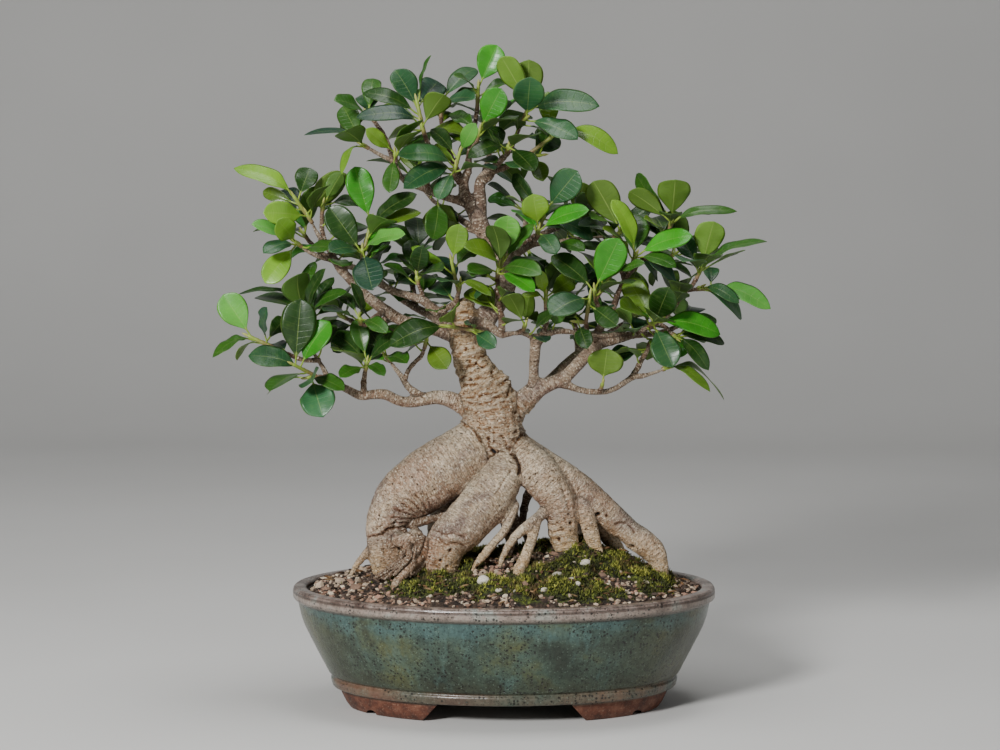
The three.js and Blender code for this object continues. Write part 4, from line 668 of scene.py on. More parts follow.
LIMBS = {
    "leader": [(-20, 262, 3, 9), (-12, 274, 5, 7.8), (-4, 285, 7, 7), (2, 296, 9, 6.6),
        (2, 308, 10, 6.4), (-3, 318, 10, 6.4), (-10, 327, 9, 6.5), (-16, 336, 8, 6.5),
        (-18.5, 344, 8, 6.2)],
    "forkLeft": [(-19, 340, 8, 5), (-23.5, 350, 8, 4.6), (-27.5, 359, 8, 4.1), (-28.5, 367, 8, 3.8),
        (-26, 373, 8, 3.4), (-24.5, 378, 8, 2.8)],
    "forkRight": [(-17, 340, 8, 5), (-16, 350, 8, 4.3), (-17, 360, 9, 4.4), (-16.5, 368, 9, 4.2),
        (-11, 375, 9, 3.2), (-4, 380.5, 8, 2.6), (0, 385, 5, 2), (1.5, 387.5, 2, 1.5)],
    "cutRight": [(-14, 369, 7, 3.2), (-9.5, 372, 5, 2.8), (-8, 377, 4, 2.4)],
    "toRightTop": [(-11, 374, 9, 2.6), (-3, 376, 12, 1.9), (6, 380, 14, 1.6), (13, 384, 16, 1.3)],
    "toTopMiddle": [(-4, 380.5, 8, 2.2), (4, 390, 13, 1.9), (8, 399, 14, 1.5), (12, 408, 15, 1.3)],
    "toTop": [(-25, 374, 9, 2.4), (-24, 388, 15, 2), (-21, 404, 19, 1.7), (-19, 417, 18, 1.4)],
    "toTopFront": [(-25, 375, 7, 2.4), (-25, 384, 4, 1.9), (-21, 392, 1, 1.6), (-19, 396, 0, 1.4)],
    "toFarTop": [(-28, 365, 9, 2.4), (-34, 378, 16, 1.9), (-40, 392, 22, 1.7), (-43, 403, 23, 1.6),
        (-44, 412, 21, 1.4)],
    "underTop": [(-29, 366, 7, 2.4), (-33, 369, 1, 1.9), (-35, 372, -3, 1.5)],
    "topLeft": [(-27, 353, 8, 3.6), (-38, 356, 7, 3.1), (-48, 359, 6, 2.8), (-57, 363, 5, 2.7),
        (-66, 366, 4, 2.6), (-72, 371, 3, 2.4), (-77, 381, 2, 2.2), (-86, 386, 2, 2),
        (-94, 390.5, 1, 1.7)],
    "topLeftUp": [(-53, 361, 6, 2.3), (-54, 370, 5, 2), (-53, 380, 4, 1.9), (-52, 390, 3, 1.8),
        (-55, 399, 2, 1.6)],
    "topLeftSide": [(-77, 380, 2, 1.9), (-80, 391, 5, 1.7), (-84.5, 401, 8, 1.6), (-90, 409, 9, 1.4)],
    "topLeftBud": [(-76, 378, 2, 1.8), (-75.5, 383, -2, 1.5)],
    "behindLeader": [(-14, 331, 10, 3), (-20, 333, 18, 2.2), (-24, 334, 22, 1.5)],
    "overRight": [(1, 312, 10, 4.4), (10, 318, 10, 2.9), (20, 323.5, 9, 2.4), (34, 325, 13, 2.1),
        (50, 328, 18, 1.9), (66, 329, 21, 1.7), (76, 329, 22, 1.4)],
    "overRightShoot": [(18, 322.5, 9, 2), (21, 326, 6, 1.7), (22.5, 329, 4, 1.4)],
    "shortFront": [(-24, 269, -5, 4), (-17, 269.5, -12, 3.4), (-11, 268, -15, 3.2), (-6, 263.5, -16, 3),
        (-2, 260.5, -16, 2.8), (4, 261.5, -15, 2.3), (12, 262, -12, 2.1), (20, 259, -8, 2.2)],
    "thinUp": [(-2, 261, -16, 2.6), (-2, 272, -17, 2.1), (-3.5, 283, -17, 1.8), (-4.5, 293, -16, 1.6),
        (-5, 300, -15, 1.4)],
    "frontPair": [(9, 262, -13, 1.9), (13, 264, -16, 1.4)],
    "lowRight": [(0, 205, 0, 11), (9, 210, -1, 9.3), (17, 217.5, -2, 7.8), (25, 223.5, -2, 6.5),
        (34, 227, -2, 5.4), (43, 231.5, -2, 5), (51, 239.5, -1, 4.8), (59, 248, 0, 4.6),
        (66, 253.5, 1, 4), (75, 256, 2, 3.3), (85, 258.5, 3, 2.7), (94, 262, 3, 2.2),
        (98.5, 265, -1, 1.9), (100.5, 267, -5, 1.5)],
    "upright": [(19, 220, -3, 5), (20.5, 230, -4, 4), (20.8, 240, -5, 3.8), (21.5, 250, -6, 3.9),
        (22, 258, -7, 4.3)],
    "rightArm": [(22, 255, -7, 3.6), (30, 261, -7, 2.9), (38, 263.5, -6, 2.5), (48, 262.5, -5, 2.2),
        (60, 261, -3, 2), (70, 260.6, -1, 1.9), (80, 261.5, 1, 1.8), (92, 262, 3, 1.8)],
    "armBud": [(25, 259, -7, 2.2), (28, 264, -8, 1.9), (29.5, 270, -9, 1.7), (29, 280, -10, 1.4)],
    "armUp": [(58, 261, -4, 1.8), (57.5, 266, -8, 1.6), (57, 269, -11, 1.4)],
    "padUp": [(62, 252, 1, 3.2), (65, 262, 3, 2.9), (69, 268, 4, 2.7), (73.5, 274, 6, 2.5),
        (77, 282, 8, 2.2), (80, 291, 9, 2), (85, 301, 9, 1.8), (89, 310, 6, 1.5)],
    "padUpLeft": [(71, 270, 5, 2), (67, 277, 0, 1.8), (64, 285, -4, 1.5)],
    "rightHigh": [(84, 300, 9, 1.9), (94, 311, 15, 1.8), (104, 318, 19, 1.7), (112, 326, 19, 1.6),
        (115, 334, 17, 1.4)],
    "rightFar": [(90, 260.7, 3, 2.2), (99, 265, 5, 2), (108, 269.5, 5, 1.8), (114, 275, 4, 1.8),
        (120, 282, 5, 1.7), (124, 289, 6, 1.7), (130, 293.5, 6, 1.6), (134, 300, 5, 1.4)],
    "rightFarSide": [(128, 292, 6, 1.5), (134, 292.5, 9, 1.3)],
    "rightFarBud": [(108, 269, 3, 1.6), (114, 265, 4, 1.4), (117, 262, 3, 1.3)],
    "thinLow": [(38, 227, -2, 3.4), (46, 224.5, -4, 2.8), (53, 222, -6, 2.5), (62, 220.7, -7, 2.4),
        (70, 220.7, -8, 2.4), (77, 222.7, -8, 2.3), (84, 227, -8, 2.3), (90, 231, -8, 2.4),
        (98, 232, -8, 2), (106, 234.5, -8, 1.7), (110, 236, -8, 1.4)],
    "thinLowBud": [(67, 220.7, -8, 2.2), (67.5, 222, -11, 1.8), (68, 223.5, -14, 1.5)],
    "thinLowUp": [(89, 230.5, -8, 2.2), (93, 237, -4, 2), (96, 243, 0, 1.8), (99.5, 248.5, 4, 1.6),
        (101, 253, 7, 1.4)],
    "highLeft": [(-32, 266, 0, 6.3), (-38, 270, -1, 4.9), (-44, 275, -2, 3.9), (-51, 280, -3, 3.5),
        (-57, 285, -3, 3.3), (-66, 288, -3, 3), (-76, 291, -3, 2.9), (-86, 296, -3, 2.7),
        (-96, 303.5, -2, 2.7), (-107, 308.5, -1, 2.6), (-120, 313, 0, 2.5), (-129, 315.5, -1, 2.3),
        (-137, 319, -3, 2), (-141, 322, -4, 1.5)],
    "highLeftUp": [(-96, 303.5, -2, 2), (-98, 309, -5, 1.7), (-99, 314, -7, 1.4)],
    "crownTwig": [(-47, 277, -2, 2.4), (-40, 279.5, -4, 2.2), (-34, 284, -6, 2), (-32, 290, -7, 1.5)],
    "highLeftBud": [(-57, 286, -3, 1.9), (-58, 291, -4, 1.5), (-60, 296, -5, 1.3)],
    "longLeft": [(-34, 260, 3, 6), (-46, 264, 4, 4.8), (-60, 267.5, 5, 4.6), (-71, 270.5, 5, 4.5),
        (-82, 277, 5, 4.4), (-92, 284.5, 5, 4.1), (-101, 292, 4, 3.8), (-109, 301, 3, 3.4),
        (-115, 307, 3, 3), (-120, 317, 5, 2.5), (-125, 324, 6, 2.3), (-130, 331, 6, 2),
        (-134, 339, 5, 1.5)],
    "longLeftRight": [(-124, 322.5, 6, 1.8), (-127, 334, 10, 1.6), (-127, 345, 9, 1.4)],
    "longLeftFront": [(-84, 278, 4, 2.4), (-91, 272, -8, 2), (-97, 268, -14, 1.7), (-100, 268, -17, 1.4)],
    "frontShield": [(-28, 263, -8, 2), (-29, 264, -13, 1.6), (-29.5, 265, -16, 1.4)],
    "lowLeft": [(-20, 205, 0, 9), (-31, 212, -1, 6.2), (-40, 216, -3, 5.7), (-49, 216.7, -5, 5.1),
        (-58, 215, -7, 4.7), (-68, 213.3, -8, 4.2), (-76, 215.3, -9, 4.1), (-84, 219, -9, 4.1),
        (-93, 218.7, -9, 3.7), (-101, 218, -9, 3.4), (-108, 221.5, -9, 3.1), (-116, 225.5, -9, 2.8),
        (-123, 230, -8, 2.5), (-127, 238, -7, 2.2), (-131, 244, -6, 2), (-134.5, 251, -5, 1.8),
        (-136.5, 260, -4, 1.6), (-136, 268, -3, 1.4)],
    "lowLeftUp": [(-55, 216, -7, 3.4), (-62, 220, -8, 3), (-68, 225, -8, 2.7), (-72, 231.5, -8, 2.3),
        (-77, 238, -9, 1.8), (-80, 242, -9, 1.4)],
    "lowLeftBud": [(-70, 228.5, -8, 1.9), (-67, 236, -9, 1.6), (-62, 242, -10, 1.5),
        (-58, 246, -11, 1.4), (-56, 251, -12, 1.2)],
    "lowLeftTwig": [(-98, 219, -9, 2.4), (-98.5, 226, -10, 2), (-97.5, 234, -11, 1.6)],
    "farLeft": [(-130, 243, -6, 1.8), (-140, 243, -9, 1.6), (-151, 247, -11, 1.5), (-162, 252, -12, 1.3)],
    "leftHang": [(-123, 230.5, -8, 1.9), (-131, 231.5, -11, 1.5)],
    "backLeftHigh": [(-24, 262, 5, 5), (-38, 268, 22, 4), (-55, 276, 37, 3.4), (-72, 286, 47, 2.8),
        (-86, 298, 54, 2.2), (-94, 309, 56, 1.6)],
    "backLeftMid": [(-62, 280, 42, 2.4), (-64, 296, 47, 2), (-62, 310, 49, 1.5)],
    "backLeftLow": [(-76, 273, 6, 3), (-88, 270, 24, 2.5), (-100, 268, 40, 2), (-108, 271, 50, 1.5)],
    "backLeftFar": [(-118, 313, 2, 2), (-128, 318, 20, 1.8), (-136, 326, 34, 1.5)],
    "backRightLow": [(18, 216, 2, 6), (32, 229, 20, 4.2), (46, 243, 34, 3.4), (60, 254, 46, 2.8),
        (74, 263, 54, 2.2), (84, 270, 57, 1.6)],
    "backRightMid": [(52, 249, 40, 2.4), (50, 264, 50, 2), (46, 277, 54, 1.5)],
    "backRightFar": [(88, 260, 3, 2.2), (108, 262, 22, 1.9), (120, 266, 36, 1.5)],
    "backUp": [(2, 300, 12, 5), (6, 313, 27, 3.6), (12, 327, 39, 2.9), (15, 341, 47, 2.3),
        (13, 354, 50, 1.6)],
    "backUpRight": [(11, 324, 37, 2.6), (26, 331, 49, 2.1), (42, 337, 56, 1.6)],
    "backUpLeft": [(-8, 325, 12, 4.6), (-21, 335, 28, 3.2), (-35, 344, 40, 2.6), (-49, 354, 47, 2.1),
        (-58, 364, 50, 1.5)],
    "backTop": [(-17, 358, 11, 3.4), (-14, 373, 26, 2.5), (-10, 388, 37, 2), (-8, 399, 42, 1.5)],
    "backPad": [(84, 300, 10, 2), (80, 310, 28, 1.8), (76, 318, 42, 1.5)],
    "backPadRight": [(96, 313, 17, 1.8), (106, 312, 34, 1.7), (114, 314, 46, 1.4)],
}
ROUTES = {**TRUNK, **ROOTS, **LIMBS}
KNOBS = [
    # place, half sizes
    ((-3.5, 225, -2), (8.2, 9, 11)), ((-4.8, 185, -17), (2.3, 3, 5.5)),
    ((-4.2, 181.5, -17.5), (2.8, 3, 3)), ((-28, 276, 0), (10.4, 8.5, 4.5)),
    ((-33.5, 278, -2), (3.4, 4, 5.5)), ((-23.5, 277, -3), (3.6, 4, 5)), ((-28, 277, 4), (4, 4, 6)),
    ((-80, 104, -16), (11.5, 9, 14)), ((-63, 116, -26), (7, 5, 8)), ((-58, 107, -32), (8, 6, 9)),
    ((-66, 104, -33), (5, 5, 8)), ((-40, 103, -38), (10, 8, 8)), ((-49, 101, -38), (8, 7, 9)),
    ((-34, 110, -36), (8, 7, 7)),
]
print("limbs:", len(ROUTES))

# %% [markdown]
# A smooth curve through a route's places is a Catmull-Rom spline: it passes through every place, and
# its direction there follows the neighbours. `frame_along` adds two directions across the limb that
# turn as little as possible, so that rings don't twist, and gives everything a tube needs.

# %% Curves along routes


def on_curve(points, shares):
    """Points of the spline through `points`, at shares from 0 to 1."""
    ends = np.vstack([2 * points[0] - points[1], points, 2 * points[-1] - points[-2]])
    place = np.clip(np.asarray(shares, float) * (len(points) - 1), 0, len(points) - 1)
    knot = np.minimum(place.astype(int), len(points) - 2)
    t = (place - knot)[:, None]
    p0, p1, p2, p3 = (ends[knot + i] for i in range(4))
    slope1, slope2 = 0.5 * (p2 - p0), 0.5 * (p3 - p1)
    square = -3 * p1 + 3 * p2 - 2 * slope1 - slope2
    cube = 2 * p1 - 2 * p2 + slope1 + slope2
    return p1 + slope1 * t + square * t ** 2 + cube * t ** 3


def unit(vectors):
    return vectors / np.maximum(np.linalg.norm(vectors, axis=-1, keepdims=True), 1e-9)


def frame_along(points):
    """Direction of a line of points, and two directions across it that don't twist."""
    ahead = unit(np.gradient(points, axis=0))
    across = np.zeros_like(points)
    first = np.cross(ahead[0], (0, 1, 0)) if abs(ahead[0][1]) < 0.9 else np.cross(ahead[0], (1, 0, 0))
    across[0] = unit(first)
    for i in range(1, len(points)):
        kept = across[i - 1] - ahead[i] * (across[i - 1] @ ahead[i])
        across[i] = unit(kept)
    return ahead, across, np.cross(ahead, across)


def limb_line(route, spacing):
    """Centres and radii along a limb, about `spacing` apart."""
    places = np.array([at(x, z, depth) for x, z, depth, _ in route])
    widths = np.array([row[3] for row in route], float)
    rough_length = np.linalg.norm(np.diff(on_curve(places, np.linspace(0, 1, 60)), axis=0), axis=1).sum()
    shares = np.linspace(0, 1, max(4, int(rough_length / spacing)))
    radii = np.interp(shares * (len(route) - 1), np.arange(len(route)), widths)
    return on_curve(places, shares), radii


def tube_points(centres, radii, sides):
    """Rings round a line of centres; radii may have one number for each point of a ring."""
    ahead, across, forward = frame_along(centres)
    turn = turns(sides)
    radii = np.asarray(radii, float)
    if radii.ndim == 1:
        radii = np.repeat(radii[:, None], sides, axis=1)
    spokes = (across[:, None, :] * np.cos(turn)[None, :, None]
              + forward[:, None, :] * np.sin(turn)[None, :, None])
    return (centres[:, None, :] + spokes * radii[:, :, None]).reshape(-1, 3)


def with_round_ends(centres, radii, steps=4):
    """Adds a dome past both ends of a limb."""
    ahead = frame_along(centres)[0]
    lean = np.sin(np.linspace(0, 0.47 * math.pi, steps + 1)[1:])
    flat = np.sqrt(1 - lean ** 2)
    start = [centres[0] - ahead[0] * radii[0] * a for a in lean[::-1]]
    stop = [centres[-1] + ahead[-1] * radii[-1] * a for a in lean]
    grown = np.concatenate([radii[0] * flat[::-1], radii, radii[-1] * flat])
    return np.vstack([start, centres, stop]), grown


centres, radii = limb_line(ROOTS["left"], 1.5)
print("left root:", len(centres), "rings, widest", round(2 * float(radii.max())), "mm")

# %% [markdown]
# ### Thick wood
#
# Where thick limbs meet, the real wood flows together. Rings alone would show hard seams there. So the
# thick limbs are made as plain tubes that run into each other, and Blender's voxel remesh turns the
# heap into one skin, as if it were poured. Smoothing that skin rounds the seams off into folds.

# %% Skin of the thick wood
THICK = 3.3
VOXEL = 1.24
SMOOTH_ROUNDS = 6


def is_thick(route):
    return max(row[3] for row in route) > THICK


def rough_heap():
    points, faces = [], []
    for route in ROUTES.values():
        if not is_thick(route):
            continue
        centres, radii = with_round_ends(*limb_line(route, 2))
        sides = 28
        faces += ring_faces(len(centres), sides, len(points))
        points += tube_points(centres, radii, sides).tolist()
    for place, half in KNOBS:
        middle = at(*place)
        lean = np.linspace(-0.49 * math.pi, 0.49 * math.pi, 13)
        line = np.array([(0, 0, math.sin(a)) for a in lean])
        ball = tube_points(line, np.cos(lean), 20)
        faces += ring_faces(len(line), 20, len(points))
        points += (middle + ball * half).tolist()
    return bare_mesh("rough_heap", points, faces)


def neighbours_mean(values, edges, count):
    """The mean of each point's neighbours."""
    total = np.zeros((count,) + values.shape[1:])
    number = np.zeros(count)
    for here, there in ((0, 1), (1, 0)):
        np.add.at(total, edges[:, here], values[edges[:, there]])
        np.add.at(number, edges[:, here], 1)
    return total / np.maximum(number, 1).reshape((count,) + (1,) * (values.ndim - 1))


wood_mesh = modified("REMESH", rough_heap(), mode="VOXEL", voxel_size=VOXEL * MM)
wood_edges = read(wood_mesh.edges, "vertices", 2, np.int64)
wood_points = points_of(wood_mesh)
for _ in range(SMOOTH_ROUNDS):
    wood_points += 0.6 * (neighbours_mean(wood_points, wood_edges, len(wood_points)) - wood_points)
set_points(wood_mesh, wood_points)
print("skin of", len(wood_points), "points")

# %% [markdown]
# Bark follows the limb it grows on: it wrinkles across and stretches along. So each point of the skin
# needs to know its limb. `straightened` finds the limb whose surface is nearest, and gives the point's
# place as if that limb were laid out straight: how far along, and where across. Wrinkles written in
# these numbers run round the limb however it bends, and the material reads the same numbers.

# %% Straightened places
LIMB_OFFSET = 400


def limb_samples(routes, spacing=1.5):
    """Centres, directions and sizes along many limbs, one row each."""
    rows = []
    for index, route in enumerate(routes):
        centres, radii = limb_line(route, spacing)
        ahead, across, forward = frame_along(centres)
        gone = np.concatenate([[0], np.cumsum(np.linalg.norm(np.diff(centres, axis=0), axis=1))])
        gone = gone + index * LIMB_OFFSET
        number = np.full(len(centres), index)
        rows.append(np.column_stack([centres, ahead, across, forward, radii, gone, number]))
    return np.vstack(rows)


def straightened(points, samples):
    """The nearest limb's place, radius and number for each point."""
    best = np.empty(len(points), np.int64)
    for start in range(0, len(points), 4000):
        part = points[start:start + 4000]
        square = (part ** 2).sum(1)[:, None] - 2 * part @ samples[:, :3].T + (samples[:, :3] ** 2).sum(1)
        past = np.sqrt(np.maximum(square, 0)) / samples[:, 12]
        best[start:start + 4000] = past.argmin(axis=1)
    chosen = samples[best]
    offset = points - chosen[:, :3]
    along = (offset * chosen[:, 3:6]).sum(1) + chosen[:, 13]
    across = (offset * chosen[:, 6:9]).sum(1)
    forward = (offset * chosen[:, 9:12]).sum(1)
    return np.column_stack([along, across, forward]), chosen[:, 12], chosen[:, 14]


thick_names = [name for name, route in ROUTES.items() if is_thick(route)]
samples = limb_samples([ROUTES[name] for name in thick_names])
straight, girth, limb_number = straightened(wood_points, samples)
print("thick limbs:", len(thick_names), "samples:", len(samples))

# %% [markdown]
# ### Wrinkles and folds
#
# The swollen roots are smooth and drum-tight in the middle, with fine cross wrinkles. The trunk is
# heavily ridged across. Where the roots reach the soil the bark is flaky and lumpy. All of that is
# noise in straightened places, stronger or weaker by limb and height. The folds that give this plant
# its face are single: the fan of creases in the left root, the pit where the roots part, the foot's
# fold. They are written as lines on the front plane, each with a width and a depth, and pressed
# into the points near them that face the viewer.

# %% Bark relief
CREASES = [
    # places on the front plane, half width, depth
    ([(-58, 150), (-54, 144), (-49.5, 136.5)], 0.7, 1.0),
    ([(-63, 148), (-58.5, 142), (-52.5, 136)], 0.7, 1.3),
    ([(-68, 145), (-63, 140), (-56, 135)], 0.75, 1.4), ([(-73, 142), (-67, 138), (-60, 134)], 0.75, 1.3),
    ([(-78, 137), (-71, 135), (-62.5, 132.4)], 0.75, 1.3),
    ([(-79, 131.5), (-70, 131), (-63, 129.7)], 0.8, 1.4),
    ([(-78, 127.5), (-70, 128), (-64, 126.8)], 0.8, 1.4),
    ([(-76, 124.5), (-70, 124.5), (-65, 124)], 0.8, 1.2),
    ([(-98, 117), (-92, 119.5), (-87, 119.8), (-82, 123), (-77.5, 124), (-76, 129)], 1.0, 1.9),
    ([(-97, 121), (-91, 123), (-86, 126)], 0.7, 0.9), ([(-85, 120), (-86, 114), (-84, 108)], 0.7, 0.8),
    ([(-11.5, 188), (-10.4, 183), (-7.6, 178)], 1.3, 2.0),
    ([(-2.2, 190), (0.4, 185), (2.2, 180)], 1.1, 1.5), ([(-8, 192), (-7, 187), (-8, 184)], 0.7, 0.9),
    ([(-3.6, 184), (-4.6, 181), (-4.2, 178)], 0.5, 0.8),
    ([(-9, 178.2), (-3, 179.4), (3, 178), (8.3, 176.4)], 0.9, 1.3),
    ([(-9.5, 175.3), (0.5, 176.5), (8.6, 173.9)], 0.8, 1.0),
    ([(-9, 172.5), (0, 173.4), (8, 171.5)], 0.7, 0.6), ([(4, 181), (9, 172), (11, 163)], 1.1, 1.7),
    ([(7.5, 181), (12, 174), (14.5, 167)], 0.7, 0.9), ([(6, 186), (13, 182), (22, 179)], 0.9, 0.9),
    ([(-12, 187), (-20, 185), (-28, 187)], 0.9, 0.7),
    ([(4, 164), (0, 159), (-3, 153), (-7, 148)], 0.8, 1.0),
    ([(27, 124), (34, 121.5), (42, 124)], 1.2, 1.3), ([(28, 129), (35, 127), (43, 130)], 0.9, 0.9),
    ([(27, 118), (33, 116), (40, 118)], 1.1, 1.3),
    ([(78, 127), (83, 129.5), (88, 127), (91, 121)], 1.2, 1.5),
    ([(41, 152), (45, 143), (46, 134)], 1.2, 1.2),
    ([(-50, 124), (-44, 120), (-36, 121), (-28, 118)], 1.0, 1.3),
    ([(-47, 117), (-40, 113), (-33, 114), (-27, 111)], 1.0, 1.4),
    ([(-18, 244), (-12, 247), (-7, 244), (-4, 238)], 0.9, 1.3),
    ([(2, 232), (4, 226), (3, 219), (0, 213)], 0.9, 1.3),
    ([(-27, 238), (-20, 240), (-13, 239)], 1.1, 1.5),
]
RIDGES = [
    ([(-20, 163), (-13, 162.5), (-8.5, 158)], 0.8, -0.8),
    ([(-25, 235.5), (-18, 237), (-10, 236)], 1.0, -0.9),
]
HOLES = [
    # x and z on the front plane, radius
    (-27, 251, 1.5), (-24, 242, 1.7), (-19, 241.5, 1.4), (-24, 229, 1.3), (66, 134, 1.6),
    (72, 133, 1.2), (47, 128, 1.4), (-73, 110, 1.3), (-38, 108, 1.5), (-45, 101, 1.3), (33, 113, 1.8),
    (38, 116, 1.5), (90, 111, 1.6), (94, 104, 1.3), (22, 163, 0.9),
]


def near_line(x, z, line):
    """Distance of each place from a line through some places."""
    nearest = np.full(len(x), 1e9)
    for (x0, z0), (x1, z1) in zip(line[:-1], line[1:]):
        run, rise = x1 - x0, z1 - z0
        share = np.clip(((x - x0) * run + (z - z0) * rise) / (run * run + rise * rise), 0, 1)
        nearest = np.minimum(nearest, np.hypot(x - x0 - share * run, z - z0 - share * rise))
    return nearest


def normals_of(mesh):
    return read(mesh.vertices, "normal", 3)


def furrows(values, width):
    """1 in narrow furrows where a noise passes through zero."""
    return np.exp(-(values / width) ** 2)


def bark_relief(points, normals, straight, girth, trunk_share, foot_share):
    """How far each point of the bark moves outwards, in millimetres."""
    size = np.clip(girth / 16, 0.12, 1.1)
    swell = 1.1 * size * rough(straight / 26, 2, 11)
    wavy = straight + np.outer(2.2 * noise(points / 9, 15), (1, 0, 0))
    ripple = rough(wavy / (2.1, 9, 9), 2, 21)
    folds = furrows(rough(wavy / (2.9, 13, 13), 2, 25), 0.2)
    cracks = furrows(rough(points / 6.5, 2, 28), 0.14)
    ridges = (0.16 + 1.0 * trunk_share + 0.35 * foot_share) * ripple
    ridges -= (0.08 + 1.0 * trunk_share + 0.2 * foot_share) * folds
    flakes = (0.08 + 1.0 * foot_share) * rough(points / 4.2, 2, 31)
    flakes += foot_share * (1.3 * noise(points / 9, 34) + 0.4 - 1.2 * cracks)
    pimples = (0.16 + 0.1 * trunk_share) * noise(points / 1.9, 41)
    relief = swell + size ** 0.5 * (ridges + flakes + pimples)
    x, z = seen_at(points)
    facing = np.clip(-normals[:, 1] * 1.6 + 0.15, 0, 1)
    wander = 0.7 * noise(points / 5, 51)
    for line, width, depth in CREASES + RIDGES:
        distance = near_line(x + wander, z + wander, line)
        relief -= depth * np.exp(-(distance / width) ** 2) * facing
    for hole_x, hole_z, radius in HOLES:
        distance = np.hypot(x - hole_x, z - hole_z)
        relief -= 1.7 * radius * np.exp(-(distance / radius) ** 3) * facing
    return relief


TRUNK_LOW, TRUNK_HIGH = 175, 196
TANGLE = (-68, -46, 103)
FOOT_HEIGHT = 28


def soil_height(x, y):
    half = SOIL["half"]
    out = np.minimum(1, (x / half) ** 2 + (y / oval_depth(half)) ** 2)
    knoll = np.exp(-((x - SOIL["knoll_x"]) / 35) ** 2 - ((y - SOIL["knoll_y"]) / 40) ** 2)
    return SOIL["edge"] + SOIL["heap"] * (1 - out) ** 0.8 + SOIL["knoll"] * knoll * (1 - out) ** 0.3


SOIL = {"half": 137.7, "wall_gap": 0.55, "edge": 80.6, "heap": 22, "knoll": 17, "knoll_x": 50,
        "knoll_y": -5}

is_trunk = np.isin(limb_number, [thick_names.index(name) for name in TRUNK])
near_fork = np.hypot(wood_points[:, 0] + 5, wood_points[:, 1]) < 27
is_root = np.isin(limb_number, [thick_names.index(name) for name in ROOTS if name in thick_names])
trunk_share = np.clip((wood_points[:, 2] - TRUNK_LOW) / (TRUNK_HIGH - TRUNK_LOW), 0, 1)
trunk_share *= is_trunk | (near_fork & (wood_points[:, 2] < 215))
above_soil = wood_points[:, 2] - soil_height(wood_points[:, 0], wood_points[:, 1])
foot_share = np.clip(1 - above_soil / FOOT_HEIGHT, 0, 1) * is_root


def spread(values, rounds=8):
    """Blends a number over the skin, so that no border shows."""
    for _ in range(rounds):
        values = 0.3 * values + 0.7 * neighbours_mean(values, wood_edges, len(values))
    return values


trunk_share = spread(trunk_share)
foot_share = spread(foot_share)
relief = bark_relief(wood_points, normals_of(wood_mesh), straight, girth, trunk_share, foot_share)
wood_points += normals_of(wood_mesh) * relief[:, None]
set_points(wood_mesh, wood_points)
hollow = neighbours_mean(wood_points, wood_edges, len(wood_points)) - wood_points
hollow = (hollow * normals_of(wood_mesh)).sum(1)
for _ in range(2):
    hollow = 0.5 * hollow + 0.5 * neighbours_mean(hollow, wood_edges, len(hollow))
print("relief from", relief.min().round(1), "to", relief.max().round(1), "mm")

# %% [markdown]
# ### Thin branches and twigs
#
# A twig is too thin for the poured skin, which would lose its joints and scars. So each thin limb is a
# fine tube of its own whose start is sunk in the limb that carries it. Its radius swells a little at
# every old leaf scar, every 8 to 13 mm, and wavers in between. Eleven rootlets, drawn by chance from
# a fixed start, creep over the flaky wood between the left and the middle root.

# %% Thin limbs
TWIG_SIDES = 12
SCAR_GAP = (7.5, 12.5)
ROOTLETS = 11

chance = np.random.default_rng(410)


def rootlet():
    """A hair-thin root that hangs over the flaky wood between two roots and creeps to the left."""
    start = chance.uniform((-69, 108, -40), (-52, 122, -30))
    stop = chance.uniform((-95, 88, -62), (-64, 92, -48))
    middle = (start + stop) / 2 + chance.uniform((-3, -3, -8), (8, 5, -3))
    early = 0.6 * start + 0.4 * middle + chance.uniform(-4, 4, 3)
    thick = chance.uniform(0.7, 1.7)
    return [(*place, thick * share) for place, share in
            ((start, 1), (early, 1.1), (middle, 0.95), (stop, 0.7))]


def scarred(gone, radii, number):
    """Radii with swollen leaf scars along a twig."""
    grown = radii * (1 + 0.05 * noise(np.column_stack([gone / 4, gone * 0, gone * 0 + number]), 61))
    place = chance.uniform(2, 8)
    while place < gone[-1]:
        grown += radii * 0.17 * np.exp(-((gone - place) / 0.9) ** 2)
        place += chance.uniform(*SCAR_GAP)
    return grown


twig_points, twig_faces, twig_straight, twig_girth = [], [], [], []
for number, route in enumerate([*ROUTES.values(), *(rootlet() for _ in range(ROOTLETS))]):
    if is_thick(route):
        continue
    centres, radii = with_round_ends(*limb_line(route, 1.1))
    gone = np.concatenate([[0], np.cumsum(np.linalg.norm(np.diff(centres, axis=0), axis=1))])
    grown = scarred(gone, radii, number)
    turn = turns(TWIG_SIDES)
    laid = np.stack([np.repeat(gone[:, None], TWIG_SIDES, 1), grown[:, None] * np.cos(turn),
                     grown[:, None] * np.sin(turn)], axis=-1).reshape(-1, 3)
    laid[:, 0] += (number + 60) * LIMB_OFFSET
    twig_faces += ring_faces(len(centres), TWIG_SIDES, sum(len(p) for p in twig_points))
    made = tube_points(centres, grown, TWIG_SIDES)
    middle = np.repeat(centres, TWIG_SIDES, axis=0)
    uneven = 1 + 0.09 * noise(laid / (1.6, 2, 2), 71)
    twig_points.append(middle + (made - middle) * uneven[:, None])
    twig_straight.append(laid)
    twig_girth.append(np.repeat(grown, TWIG_SIDES))
twig_mesh = bare_mesh("twigs", np.vstack(twig_points), twig_faces)
print("twigs of", len(twig_mesh.vertices), "points")
